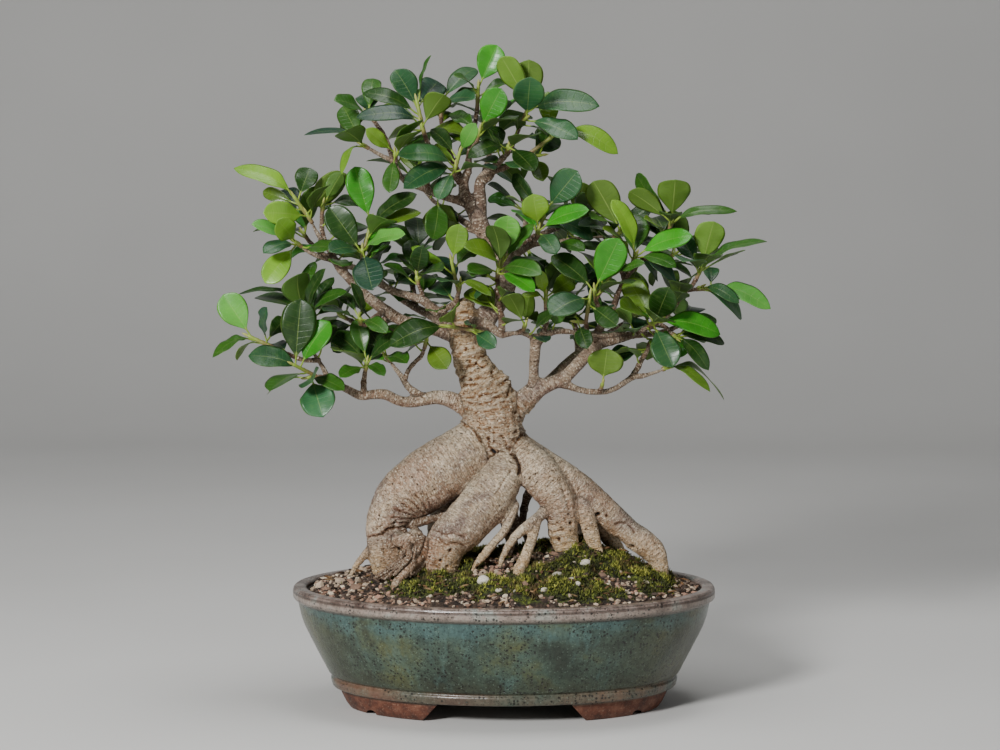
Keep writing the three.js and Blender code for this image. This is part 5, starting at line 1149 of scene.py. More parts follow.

# %% [markdown]
# ### Bark
#
# The bark is thin and pale grey-beige, pinkish in patches on the swollen roots. Fine wrinkles run
# across, with dark specks and paler corky dots in them. Faces turned down are painted a darker
# pink-brown, hollows a dark brown that is near black in the deepest ones, and the dips of the finest
# wrinkles darker too: all of that is painted shade. The feet are ochre. Above the roots the bark is
# greyer and darker, and the twigs are browner and darker: partly the bark's own colour and partly
# painted shade of the crown. A reddish patch lies in the tangle between the left and the middle
# root. The recipe reads the straightened places for all that runs across, and four numbers that the
# points carry: how hollow the skin is there, how near the soil, how much of it is ridged trunk, and
# how thin the limb is.

# %% Bark material


def bark_finish():
    r = Recipe("wrinkled_bark", Roughness=0.56, IOR=1.45)
    laid = r.number("straight", "Vector")
    hollow, foot, trunk, thin = r.number("hollow"), r.number("foot"), r.number("trunk"), r.number("thin")
    turned = r.node("SeparateXYZ", {"Vector": r.node("NewGeometry").outputs["Normal"]})
    upward = turned.outputs["Z"]
    broad = r.cloud(r.where, 34, 4, 0.65)
    grains = r.cloud(r.where, 640, 5, 0.75)
    fine = r.cloud(r.stretched(laid, (1, 0.2, 0.2)), 0.5, 2.5, 0.55)
    cross = r.cloud(r.stretched(laid, (0.5, 1, 1)), 0.42, 2.5, 0.55)
    finest = r.cloud(r.stretched(laid, (1, 0.4, 0.4)), 1.3, 3, 0.6)
    curls = r.cloud(r.stretched(laid, (1, 0.5, 0.5)), 0.6, 1, 0.5)
    tone = r.ramp(broad, 0.36, "#8f7e76", 0.45, "#b3a08e", 0.54, "#d3bfa4", 0.66, "#ecdfc8")
    middling = r.cloud(r.where, 120, 4, 0.7)
    light = r.ramp(middling, 0.36, (0.76, 0.73, 0.7), 0.48, (0.98, 0.97, 0.96), 0.62, (1.18, 1.17, 1.15))
    tone = r.mix(1.0, tone, light, "MULTIPLY")
    # Pink in random patches is the bark's own tone; the darker pink-brown on faces turned down is painted
    # shade.
    pink = r.sums("MAXIMUM", r.step(r.cloud(r.where, 17, 3), 0.5, 0.64), r.step(upward, 0.05, -0.55))
    tone = r.over(tone, (pink, 0.6, "#9a6f5c"), (r.step(upward, 0.45, 0.95), 0.4, "#b9b6a2"),
                  (trunk, 0.4, "#c2a985"), (foot, 0.85, "#dcba88"))
    # Greyer and darker above the roots: partly older bark, partly painted shade of the crown.
    upper = r.step(r.node("SeparateXYZ", {"Vector": r.where}).outputs["Z"], 0.19, 0.27)
    tone = r.over(tone, (upper, 0.55, r.mix(trunk, "#77675f", "#a3855c")))
    from_tangle = r.node("VectorMath", {0: r.where, 1: to_metres([TANGLE])[0]}, operation="DISTANCE")
    red = r.step(from_tangle.outputs["Value"], 0.034, 0.018)
    # The reddish tangle is the roots' own tone; the twigs' darker brown is partly their own bark and
    # partly painted shade of the crown.
    tone = r.over(tone, (red, 0.75, r.ramp(middling, 0.4, "#6d4a3c", 0.6, "#b18b76")),
                  (thin, 0.78, r.ramp(broad, 0.4, "#624d40", 0.6, "#8a7665")))

    def band(cloudy, half):
        return r.step(r.sums("ABSOLUTE", r.minus(cloudy, 0.5)), half, half / 3)

    lines = r.sums("MAXIMUM", band(fine, 0.022), r.times(band(cross, 0.016), 0.6))
    tone = r.over(tone, (lines, r.sums("MULTIPLY_ADD", trunk, 0.35, 0.4), "#5f4a38"),
                  (r.step(fine, 0.45, 0.37), 0.3, "#7b6753"), (r.step(fine, 0.55, 0.62), 0.15, "#efe4cf"),
                  (r.step(finest, 0.58, 0.66), 0.5, "#f0e6d4"))
    # Darker in the dips of the finest wrinkles, less so higher up: painted shade.
    crease_shade = r.times(r.step(finest, 0.43, 0.36), r.sums("MULTIPLY_ADD", upper, -0.42, 0.75))
    tone = r.mix(crease_shade, tone, "#594636")
    wrinkle = r.times(band(curls, 0.03), r.step(middling, 0.38, 0.55))
    wrinkle = r.times(wrinkle, r.sums("MULTIPLY_ADD", upper, -0.7, 1.0))
    tone = r.over(tone, (wrinkle, 0.62, "#f4e9d3"), (r.step(grains, 0.42, 0.32), 0.4, "#4d3d31"))
    # Hollows painted a dark brown and the deepest ones near black: painted shade.
    hollow_shade_tone = r.mix(trunk, "#5f4634", "#785439")
    tone = r.over(tone, (r.step(hollow, 0.03, 0.16), 0.8, hollow_shade_tone),
                  (r.step(hollow, 0.14, 0.36), 0.9, "#241910"),
                  (r.step(hollow, -0.04, -0.2), 0.5, "#e0d4bd"))
    marks = r.stretched(laid, (1, 0.55, 0.55))
    dots = r.plus(r.speckle(marks, 0.36, 0.2, 0.4), r.speckle(marks, 0.8, 0.26, 0.3))
    dots = r.times(r.sums("MINIMUM", dots, 1.0), r.step(broad, 0.4, 0.6))
    tone = r.over(tone, (dots, 0.8, "#33261c"))
    corky = r.speckle(r.stretched(laid, (1, 0.5, 0.5)), 0.62, 0.27, 0.45)
    tone = r.over(tone, (corky, 0.55, "#f0e6d2"))
    tone = r.mix(1.0, tone, (1.0, 0.985, 0.975, 1.0), "MULTIPLY")
    tone = r.node("BrightContrast", {"Color": tone, "Bright": -0.012, "Contrast": 0.06}).outputs[0]
    height = r.weighted((fine, 1.0), (finest, 0.5), (cross, 0.7), (wrinkle, 0.22), (grains, 0.18),
                        (dots, -0.3), (lines, -0.25))
    return r.dress(tone, None, height, 0.0026)


bark = bark_finish()
add_numbers(wood_mesh, "straight", straight)
add_numbers(wood_mesh, "hollow", hollow)
add_numbers(wood_mesh, "foot", foot_share)
add_numbers(wood_mesh, "trunk", trunk_share)
add_numbers(wood_mesh, "thin", np.clip(1 - (girth - 2.5) / 4, 0, 1) * ~is_root)
add_numbers(twig_mesh, "straight", np.vstack(twig_straight))
for empty in ("hollow", "foot", "trunk"):
    add_numbers(twig_mesh, empty, np.zeros(len(twig_mesh.vertices)))
add_numbers(twig_mesh, "thin", np.ones(len(twig_mesh.vertices)))
piece("roots_and_trunk", wood_mesh, bark, ["wood"])
piece("thin_branches", twig_mesh, bark, ["wood"])
print("wood faces:", len(wood_mesh.polygons), "and", len(twig_mesh.polygons))

# %% [markdown]
# ## Where the leaves grow
#
# Each limb below ends in one or two green shoots. A shoot's row holds its tip at x, z and depth, how
# many leaves a rule adds, and its other leaves. Those are the ones that the photograph shows, and
# they are placed one by one: a tip at x and z, how far the leaf reaches (towards the
# viewer when negative), the side that its face turns to, its width, how far it arches, and a letter
# for its tone. The rest, at the back and in the depth, are placed by a rule with a fixed start for
# its chances: each try turns round the shoot and leans out, and a leaf stays only where it clears the
# wood and the leaves before it. The same rule placed the frame's plain leaves, so each fine leaf
# stands in its plain leaf's place.

# %% Shoots and their leaves
SPRAYS = {
    "lowLeft": [(-135, 275, -4, 2, [(-113, 278, 36, "half", 0.6, 0.36, "m"),
        (-119, 301, 34, "half", 0.6, 0.54, "d"), (-110, 291, -38, "half", 0.7, 0.63, "m"),
        (-125, 307, -38, "half", 0.55, 0.54, "d")]),
        (-146, 285, -2, 2, [(-132, 312, 38, "half", 0.55, 0.54, "m"),
        (-186, 289, 40, "up", 0.55, 0.9, "d")])],
    "farLeft": [(-179, 260, -13, 0, [(-187, 243, 32, "up", 0.6, 0.54, "o"),
        (-204, 245, -36, "up", 0.85, 0.72, "m"), (-196, 289, -32, "front", 1.2, 0.05, "p")]),
        (-168, 255, -12, 2, [(-166, 280, -32, "turnedLeft", 0.8, 0.16, "k"),
        (-153, 272, 34, "front", 0.8, 0.16, "d")])],
    "leftHang": [(-138, 230.5, -14, 1, [(-127, 203, -36, "front", 1.45, 0.19, "q"),
        (-166, 219, 34, "up", 0.55, 0.54, "o"), (-112, 222, -34, "half", 0.8, 0.3, "m")]),
        (-148, 240, -22, 1, [(-179, 246, -36, "half", 1.05, 0.4, "b"),
        (-122, 270, -38, "half", 1.15, 0.2, "g"), (-142, 286, 46, "front", 1.05, 0.16, "d")])],
    "highLeft": [(-146, 326, -7, 1, [(-168, 318, -34, "half", 0.85, 0.3, "b"),
        (-167, 297, -38, "front", 0.95, 0.08, "y"), (-176, 338, -36, "half", 0.75, 0.25, "p"),
        (-158, 341, -34, "front", 1, 0.16, "y")])],
    "longLeft": [(-138, 346, 3, 1, [(-168, 346, -36, "front", 0.95, 0.16, "y"),
        (-110, 373, 44, "back", 0.9, 0.24, "o")]),
        (-147, 358, 0, 1, [(-157, 344, 34, "half", 1.1, 0.16, "b"),
        (-168, 361, 30, "front", 0.7, 0.16, "o"), (-135, 377, 32, "front", 1.25, 0.16, "d"),
        (-188, 377, -42, "half", 0.8, 0.9, "y")])],
    "longLeftRight": [(-126, 352, 8, 3, [(-113, 374, 34, "back", 1, 0.16, "m"),
        (-97, 352, 34, "half", 0.9, 0.36, "d")])],
    "highLeftUp": [(-99, 321, -10, 1, [(-122, 350, -38, "front", 1.05, 0.16, "d"),
        (-122, 319, -36, "half", 1, 0.24, "b"), (-69, 331, -38, "half", 0.8, 0.45, "p"),
        (-92, 292, -38, "front", 1.2, 0.19, "k")]),
        (-92.5, 341, -2, 2, [(-58, 346, -38, "half", 0.7, 0.54, "o"),
        (-61, 359, 38, "half", 0.8, 0.54, "d"), (-104, 378, -38, "front", 0.95, 0.06, "g")])],
    "longLeftFront": [(-101, 273, -20, 3, [(-117, 291, 34, "half", 0.7, 0.72, "d"),
        (-82, 262, -30, "half", 0.9, 0.36, "m"), (-107, 297, -32, "half", 0.6, 0.54, "d")])],
    "lowLeftTwig": [(-96, 242, -13, 2, [(-115, 231, -30, "half", 0.85, 0.24, "m"),
        (-84, 232, -30, "half", 0.7, 0.36, "m"), (-72, 261, -36, "half", 0.8, 0.36, "d"),
        (-120, 262, 36, "half", 1, 0.36, "d"), (-103, 272, 34, "front", 0.9, 0.16, "m")])],
    "lowLeftUp": [(-84, 247, -10, 3, [(-68, 241, -34, "half", 0.8, 0.16, "m")])],
    "lowLeftBud": [(-54, 258, -13, 2, [(-40, 237, -32, "front", 1.1, 0.16, "o"),
        (-70, 246, 34, "half", 0.8, 0.16, "d")])],
    "frontShield": [(-41, 267, -21, 1, [(-80, 253, -46, "half", 1, 0.45, "d")]),
        (-17, 263, -22, 0, [(-6, 252, -26, "front", 1, 0.16, "b"),
        (-27, 268, -24, "half", 0.8, 0.16, "b")])],
    "crownTwig": [(-31, 297, -9, 2, [(-44, 298, -32, "up", 1.05, 0.16, "b"),
        (-22, 303, 34, "half", 0.9, 0.16, "d"), (-9, 288, -34, "half", 0.6, 0.72, "o")]),
        (-37, 313, -11, 1, [(-65, 322, -36, "half", 0.5, 0.08, "y"),
        (-21, 322, 34, "half", 0.9, 0.16, "m"), (-31, 338, -30, "front", 1.1, 0.08, "y")])],
    "highLeftBud": [(-61, 302, -6, 2, [(-43, 306, -32, "half", 0.8, 0.16, "d"),
        (-66, 327, 32, "front", 0.9, 0.16, "d"), (-57, 323, -34, "front", 0.8, 0.16, "d")])],
    "thinUp": [(-4, 308, -15, 1, [(21, 291, -38, "half", 0.8, 0.36, "g"),
        (-25, 305, -34, "half", 0.9, 0.16, "m"), (26, 303, -40, "half", 0.9, 0.45, "m"),
        (-28, 322, -38, "half", 1.3, 0.72, "o")]),
        (0, 316, -8, 1, [(20, 338, 32, "half", 0.6, 0.16, "m"),
        (3, 344, -31, "front", 1.25, 0.05, "p")])],
    "frontPair": [(15, 269, -19, 1, [(3, 289, -34, "back", 0.9, 0.16, "o"),
        (18, 291, 34, "back", 0.85, 0.24, "o")])],
    "armBud": [(29, 289, -12, 1, [(11, 287, -32, "half", 0.6, 0.63, "o"),
        (24, 306, -30, "front", 0.8, 0.16, "y"), (47, 299, 34, "front", 0.9, 0.16, "o"),
        (41, 310, 34, "back", 0.9, 0.16, "m")])],
    "armUp": [(60, 289, -13, 1, [(79, 267, -34, "front", 0.95, 0.16, "d"),
        (32, 275, -40, "half", 1.25, 0.36, "b")]),
        (50, 270, -15, 1, [(58, 251, -30, "front", 0.9, 0.16, "d")])],
    "padUpLeft": [(63, 293, -7, 1, [(76, 300, 30, "half", 0.8, 0.16, "m"),
        (33, 316, 40, "half", 1, 0.36, "d"), (80, 328, -42, "front", 1.05, 0.06, "g")]),
        (77, 306, -8, 1, [(98, 311, -30, "half", 0.7, 0.16, "m")])],
    "overRightShoot": [(24, 335, 2, 1, [(36, 317, -32, "half", 1, 0.36, "b"),
        (59, 348, -40, "half", 0.9, 0.36, "g"), (20, 359, -28, "front", 1.5, 0.16, "y")]),
        (29, 349, 8, 2, [(62, 328, 42, "half", 0.9, 0.36, "b"),
        (6, 373, 38, "turnedLeft", 0.6, 0.08, "d"), (51, 375, -38, "front", 1.15, 0.06, "b")])],
    "overRight": [(82, 333, 18, 3, [(56, 338, 34, "half", 0.6, 0.16, "d"),
        (101, 350, 34, "half", 0.8, 0.16, "d"), (73, 348, 32, "half", 0.8, 0.16, "m"),
        (62, 368, -42, "back", 1.1, 0.06, "o")])],
    "padUp": [(92, 317, 1, 3, [(107, 299, 34, "half", 1, 0.36, "b"),
        (120, 308, -34, "half", 0.8, 0.36, "m"), (131, 330, -42, "half", 0.9, 0.3, "g"),
        (75, 355, -42, "turnedRight", 0.9, 0.24, "y")])],
    "rightHigh": [(117, 342, 15, 1, [(162, 347, -47, "half", 0.5, 0.9, "m"),
        (144, 345, 34, "half", 0.5, 0.9, "d"), (87, 361, -38, "back", 0.8, 0.16, "o"),
        (119, 369, -32, "back", 1.3, 0.06, "o"), (92, 373, 47, "left", 0.6, 0.08, "m")])],
    "rightFar": [(138, 309, 3, 2, [(168, 320, 36, "left", 0.5, 0.08, "o"),
        (183, 326, 50, "up", 0.6, 0.5, "m"), (122, 330, 32, "front", 1, 0.16, "b"),
        (146, 340, -34, "back", 1.3, 0.06, "y")])],
    "rightFarSide": [(148, 293, 12, 2, [(144, 308, 28, "front", 0.9, 0.16, "b"),
        (186, 279, -44, "half", 0.95, 0.81, "p")]),
        (137, 294, 8, 1, [(166, 272, 42, "half", 0.8, 0.54, "b"),
        (164, 283, -34, "half", 0.85, 0.72, "b")])],
    "lowRight": [(106, 270, -11, 2, [(118, 238, -38, "front", 1.1, 0.19, "b"),
        (86, 300, 40, "front", 1, 0.16, "o"), (115, 294, -36, "front", 1.1, 0.16, "d"),
        (151, 261, -44, "half", 0.95, 0.45, "g")])],
    "rightFarBud": [(120, 259, 2, 2, [(143, 236, -36, "half", 0.9, 0.72, "d"),
        (154, 255, 38, "half", 0.7, 0.24, "d"), (148, 272, 34, "half", 0.9, 0.36, "d")])],
    "thinLow": [(113, 237.5, -8, 1, [(144, 221, -40, "up", 0.8, 0.9, "o"),
        (154, 215, 52, "up", 0.7, 0.9, "o")])],
    "thinLowBud": [(69, 227, -18, 0, [(72, 251, -26, "front", 2.1, 0.16, "o")])],
    "thinLowUp": [(102, 256, 12, 3, [])],
    "topLeft": [(-100, 394, 0, 1, [(-113, 373, -34, "turnedLeft", 0.7, 0.9, "y"),
        (-112, 420, 34, "front", 0.95, 0.16, "m"), (-139, 400, -40, "up", 0.75, 0.81, "k")])],
    "topLeftSide": [(-95, 415, 8, 1, [(-114, 404, 32, "front", 0.9, 0.16, "d"),
        (-118, 424, -34, "half", 1, 0.19, "m"), (-91, 439, 36, "half", 0.8, 0.16, "m")])],
    "topLeftBud": [(-76, 388, -5, 2, [(-80, 360, -32, "half", 0.8, 0.16, "m"),
        (-96, 404, -32, "front", 0.7, 0.16, "y")])],
    "topLeftUp": [(-58, 408, 0, 1, [(-81, 397, 34, "half", 0.9, 0.19, "o"),
        (-42, 428, -34, "back", 1.15, 0.16, "o"), (-103, 412, -48, "half", 0.8, 0.81, "k")]),
        (-61, 424, 2, 1, [(-87, 419, 36, "half", 0.7, 0.16, "y"), (-98, 429, -40, "half", 0.7, 0.4, "d"),
        (-76, 445, 34, "half", 1.2, 0.16, "b"), (-46, 437, 34, "front", 1.2, 0.16, "k"),
        (-51, 455, -34, "left", 0.5, 0.05, "m")])],
    "toFarTop": [(-44, 424, 20, 1, [(-66, 430, 30, "half", 0.8, 0.16, "m"),
        (-20, 425, -36, "half", 0.9, 0.36, "b"), (-18, 431, 34, "half", 0.6, 0.16, "m"),
        (-20, 446, 38, "half", 0.7, 0.36, "b")])],
    "underTop": [(-34, 379, -6, 1, [(-46, 355, -34, "half", 0.8, 0.19, "b"),
        (-70, 363, -42, "half", 1, 0.54, "b"), (-74, 386, -46, "half", 0.9, 0.54, "b")]),
        (-31, 388, -8, 1, [(-50, 390, 32, "back", 0.9, 0.16, "y"), (-51, 404, 32, "half", 1, 0.19, "d"),
        (-20, 408, -32, "front", 0.75, 0.08, "p")])],
    "toTopFront": [(-17, 404, -3, 2, [(-37, 415, 34, "half", 0.8, 0.16, "m"),
        (-2, 432, -34, "front", 1.15, 0.05, "g")])],
    "toTop": [(-18, 434, 13, 1, [(3, 437, 34, "half", 0.6, 0.16, "m"),
        (-35, 441, -32, "half", 0.6, 0.16, "m"), (-5, 462, -31, "front", 1.25, 0.05, "g")])],
    "toTopMiddle": [(16, 412, 3, 1, [(51, 397, -42, "half", 0.85, 0.24, "b"),
        (18, 440, -38, "front", 1.15, 0.05, "b")]),
        (18, 422, 14, 1, [(66, 420, -52, "half", 0.95, 0.63, "b"), (17, 452, 32, "back", 1.3, 0.16, "o"),
        (-2, 454, -36, "back", 0.85, 0.06, "y")])],
    "forkRight": [(3, 393, -2, 1, [(-25, 384, -36, "half", 0.85, 0.54, "d"),
        (21, 375, -34, "half", 1, 0.19, "d")])],
    "toRightTop": [(26, 386, 16, 1, [(27, 368, -30, "front", 0.9, 0.16, "o"),
        (34, 412, 34, "front", 0.9, 0.16, "m")]),
        (43, 406, 16, 1, [(30, 430, 34, "front", 0.9, 0.16, "o"),
        (79, 387, -44, "half", 0.9, 0.63, "y")])],
    "behindLeader": [(-28, 334, 24, 3, [(-45, 350, 34, "half", 0.8, 0.16, "d")])],
    "backLeftHigh": [(-98, 316, 58, 5, [])],
    "backLeftMid": [(-60, 319, 50, 4, [(-46, 328, -32, "half", 0.8, 0.16, "m")])],
    "backLeftLow": [(-114, 274, 56, 5, [])],
    "backLeftFar": [(-141, 333, 40, 4, [])],
    "backRightLow": [(92, 276, 60, 5, [])],
    "backRightMid": [(44, 286, 57, 5, [])],
    "backRightFar": [(127, 271, 42, 4, [])],
    "backUp": [(11, 363, 52, 4, [])],
    "backUpRight": [(49, 342, 60, 5, [])],
    "backUpLeft": [(-63, 372, 52, 4, [])],
    "backTop": [(-7, 408, 46, 4, [])],
    "backPad": [(73, 326, 50, 5, [])],
    "backPadRight": [(120, 318, 54, 5, [])],
}
FACES = {
    "up": (0, -0.35, 1), "half": (0, -1, 1), "front": (0, -1, 0.2), "left": (-1, -0.3, 0.3),
    "back": (0, 1, 0.5), "turnedLeft": (-1, -1, 0.4), "turnedRight": (1, -1, 0.4),
}
LEAF = {"stalk": 6.5, "sunk": 0.6, "base_half": 1.1, "width": 0.57, "fold": 0.12}
STEM = {"radius": 1.5, "slimmer": 0.08, "tip": 1.05, "bud": 5, "gap": 0.35}
CLEAR = 1.9
ROOM_AT_BASE = 9
MAX_LEAF_TRIES = 12
print("shoots:", sum(len(rows) for rows in SPRAYS.values()))

# %% [markdown]
# A leaf is measured along its midrib from the stalk's start, and across it. Its blade arches down as
# the square of the way along, and folds up from the midrib.

# %% The leaf's own measures


def plain_half(share):
    """Half width of the plain blade as a share of its greatest."""
    inside = np.clip(share, 0, 1)
    return 2.569 * inside ** 0.75 * (1 - inside) ** 0.62


def blade_height(leaf, along, across):
    share = np.maximum(0, along - leaf["stalk"]) / leaf["length"]
    return LEAF["fold"] * np.abs(across) - leaf["arch"] * leaf["length"] * share * share


def leaf_place(leaf, along, across, height):
    return (leaf["base"] + np.multiply.outer(along, leaf["forward"])
            + np.multiply.outer(across, leaf["side"]) + np.multiply.outer(height, leaf["up"]))


def leaf_between(base, tip, facing, width, arch):
    """A leaf from its base to its tip, with its upper side towards `facing`."""
    chord = tip - base
    reach = math.sqrt(chord @ chord)
    ahead = chord / reach
    over = unit(facing - ahead * (facing @ ahead))
    stalk = min(LEAF["stalk"], reach * 0.3)
    bend = 1 + arch * arch
    length = (math.sqrt(stalk * stalk - bend * (stalk * stalk - reach * reach)) - stalk) / bend
    tilt = math.atan2(arch * length, stalk + length)
    forward = ahead * math.cos(tilt) + over * math.sin(tilt)
    up = over * math.cos(tilt) - ahead * math.sin(tilt)
    return {"base": base, "forward": forward, "up": up, "side": np.cross(forward, up),
            "stalk": stalk, "length": length, "arch": arch,
            "half": LEAF["width"] * length * width / 2}


def leaf_samples(leaf):
    """Points on the stalk, the midrib and the edges."""
    shares = np.arange(13) / 12
    along = leaf["stalk"] + shares * leaf["length"]
    half = leaf["half"] * plain_half(shares)
    stalk = np.array([0.4, 0.75]) * leaf["stalk"]
    rows = [(stalk, stalk * 0), (along, along * 0), (along[1:-1], half[1:-1]), (along[1:-1], -half[1:-1])]
    return np.vstack([leaf_place(leaf, a, c, blade_height(leaf, a, c)) for a, c in rows])


def near_leaf(leaf, points, radius):
    """Which balls of a radius at some points reach the leaf."""
    offset = points - leaf["base"]
    along = offset @ leaf["forward"]
    across = offset @ leaf["side"]
    share = (along - leaf["stalk"]) / leaf["length"]
    half = np.maximum(LEAF["base_half"], leaf["half"] * plain_half(share))
    height = np.abs(offset @ leaf["up"] - blade_height(leaf, along, across))
    return ((along >= 2) & (along <= leaf["stalk"] + leaf["length"] + radius)
            & (np.abs(across) <= half + radius) & (height < radius))


print("a leaf 38 mm long is", round(LEAF["width"] * 38, 1), "mm wide")

# %% [markdown]
# The wood and the stems are tested as rows of balls, 3 mm apart. That is coarse, but it is quick, and
# it leaves the same room as on the real plant, whose leaves slide past each other.

# %% Balls for the clearance test


def curve_balls(place, parts, radius_at, limb):
    """Balls about 3 mm apart along a curve, as rows of x, y, z, radius and limb number."""
    steps = place(np.linspace(0, 1, 201))
    length = np.linalg.norm(np.diff(steps, axis=0), axis=1).sum()
    count = max(2, math.ceil(length / 3))
    shares = np.arange(count + 1) / count
    return np.column_stack([place(shares), radius_at(shares * parts), np.full(count + 1, limb)])


def limb_balls(route, limb):
    places = np.array([at(x, z, depth) for x, z, depth, _ in route])
    widths = np.array([row[3] for row in route], float)
    knots = np.arange(len(route))
    return curve_balls(lambda s: on_curve(places, s), len(route) - 1,
                       lambda s: np.interp(s, knots, widths), limb)


def stem_line(limb, tip):
    """A shoot's stem: a curve from the end of its limb to its bud."""
    end, before = at(*limb[-1][:3]), at(*limb[-2][:3])
    ahead = unit(end - before)
    start = end + ahead * STEM["gap"]
    stop = at(*tip)
    middle = start + ahead * 0.4 * np.linalg.norm(stop - start)

    def place(shares):
        t = np.atleast_1d(shares)[:, None]
        return (1 - t) ** 2 * start + 2 * (1 - t) * t * middle + t ** 2 * stop

    return place


limb_names = list(SPRAYS)
shoots = []
for limb, rows in SPRAYS.items():
    for order, (x, z, depth, extra, leaves) in enumerate(rows):
        place = stem_line(LIMBS[limb], (x, z, depth))
        before, stop = place([0.9999, 1.0])
        axis = unit(unit(stop - before) + (0, 0, 0.7))
        shoots.append({
            "limb": limb_names.index(limb), "place": place, "start": place(0.0)[0], "stop": stop,
            "axis": axis, "depth": depth, "extra": extra, "rows": leaves,
            "count": len(leaves) + extra, "radius": STEM["radius"] * (1 - STEM["slimmer"] * order),
            "leaves": [],
        })
wood_balls = np.vstack([limb_balls(route, -1) for route in ROUTES.values()])
stem_balls = np.vstack([
    curve_balls(shoot["place"], 1, lambda s, r=shoot["radius"]: s * 0 + r, shoot["limb"])
    for shoot in shoots])
all_balls = np.vstack([wood_balls, stem_balls])
print("balls:", len(all_balls))

# %% [markdown]
# Now the leaves take their places: first all that are listed, then those of the rule.

# %% Placing the leaves
DRAW_STEP, DRAW_TOP = 48271, 2147483647
seed = 20117
placed = []


def draw():
    global seed
    seed = (seed * DRAW_STEP) % DRAW_TOP
    return seed / DRAW_TOP


def between(low, high):
    return low + (high - low) * draw()


def fits(leaf, shoot):
    reach = leaf["stalk"] + leaf["length"] + 4
    gap = np.linalg.norm(all_balls[:, :3] - leaf["base"], axis=1)
    close = all_balls[(gap < reach + all_balls[:, 3]) & (all_balls[:, 4] != shoot["limb"])]
    if near_leaf(leaf, close[:, :3], close[:, 3] + CLEAR).any():
        return False
    mine = leaf_samples(leaf)
    for other in placed:
        away = np.linalg.norm(other["base"] - leaf["base"])
        if away > reach + other["stalk"] + other["length"]:
            continue
        theirs = other["samples"]
        points = mine
        if other["shoot"] is shoot:
            points = mine[np.linalg.norm(mine - other["base"], axis=1) > ROOM_AT_BASE]
            theirs = theirs[np.linalg.norm(theirs - leaf["base"], axis=1) > ROOM_AT_BASE]
        if near_leaf(other, points, CLEAR).any() or near_leaf(leaf, theirs, CLEAR).any():
            return False
    return (mine[:, 2] > soil_height(mine[:, 0], mine[:, 1]) + CLEAR).all()


def settle(leaf, shoot, tone):
    if not fits(leaf, shoot):
        return False
    leaf.update(shoot=shoot, samples=leaf_samples(leaf), tone=tone)
    placed.append(leaf)
    shoot["leaves"].append(leaf)
    return True


def stalk_share(shoot, order):
    """How far along its stem a leaf stands."""
    return 0.3 + 0.68 * (order + 0.5) / shoot["count"]


def stalk_base(shoot, order):
    return shoot["start"] + (shoot["stop"] - shoot["start"]) * stalk_share(shoot, order)


def lead_leaf(shoot, row, order):
    x, z, reach, face, width, arch, tone = row
    base = stalk_base(shoot, order)
    flat = at(x, z, shoot["depth"]) - base
    deep = math.copysign(math.sqrt(max(0, reach * reach - flat @ flat)), reach)
    for shift in (0, -4, 4, -8, 8, -12, 12, -16, 16):
        tip = at(x, z, shoot["depth"] + deep + shift)
        if settle(leaf_between(base, tip, np.array(FACES[face], float), width, arch), shoot, tone):
            return


def rule_leaf(shoot, order):
    base = stalk_base(shoot, order)
    level = unit(np.cross((0, 0, 1), shoot["axis"]))
    cross = np.cross(shoot["axis"], level)
    for _ in range(MAX_LEAF_TRIES):
        turn = between(0, 2 * math.pi) + 2.4 * order
        lean = between(0.75, 1.35)
        length = between(33, 40)
        arch = between(0.1, 0.45)
        width = between(1.05, 1.3)
        outward = level * math.cos(turn) + cross * math.sin(turn)
        ahead = shoot["axis"] * math.cos(lean) + outward * math.sin(lean)
        facing = shoot["axis"] * math.sin(lean) - outward * math.cos(lean) + (0, 0, 0.4)
        if shoot["depth"] <= 30 and abs(ahead[1]) <= 0.45:
            continue
        if settle(leaf_between(base, base + ahead * length, facing, width, arch), shoot, "r"):
            return


for shoot in shoots:
    for order, row in enumerate(shoot["rows"]):
        lead_leaf(shoot, row, shoot["extra"] + order)
by_hand = len(placed)
for shoot in shoots:
    for order in range(shoot["extra"]):
        rule_leaf(shoot, order)
print("leaves:", by_hand, "by hand and", len(placed) - by_hand, "by rule")

# %% [markdown]
# With the shoots' leaves alone the crown is still thin. Small leaves also stand on the woody twigs
# inside it, and they make it dense. A second rule grows them: it picks a twig and a tip by chance, or
# near a thin place of the crown, and keeps the leaf where it clears all the others.

# %% Leaves on the twigs
THIN_PLACES = [
    # x and z on the front plane
    (11, 411), (22, 400), (-34, 421), (-84, 320), (-72, 300), (-17, 306), (-17, 291), (89, 300),
    (104, 303), (120, 306), (130, 285), (39, 270), (88, 270), (-118, 257), (105, 338), (46, 324),
    (67, 327), (-52, 302), (-100, 330), (-125, 290), (-12, 395), (-60, 392), (25, 300), (60, 300),
    (112, 250), (-95, 262), (-20, 420), (-45, 332), (75, 345), (-140, 280),
]
PLACE_TRIES, PLACE_LEAVES = 70, 3
CHANCE_TRIES, CHANCE_LEAVES = 2600, 90

twig_rows = wood_balls[(wood_balls[:, 3] < 2.9) & (wood_balls[:, 2] > 238)]
twig_front = np.column_stack(seen_at(twig_rows))
inner = {"limb": -2, "leaves": []}


def twig_leaf(site, tip):
    """Grows a leaf from a row of the twigs, if the reach is right and there is room."""
    ahead = unit(tip - site[:3])
    reach = np.linalg.norm(tip - site[:3])
    if not 20 < reach < 38:
        return False
    facing = np.array([between(-0.5, 0.5), between(-0.9, 0.3), 1.0])
    leaf = leaf_between(site[:3] + 0.6 * site[3] * ahead, tip, facing, between(1.05, 1.35),
                        between(0.05, 0.4))
    return settle(leaf, inner, "r")


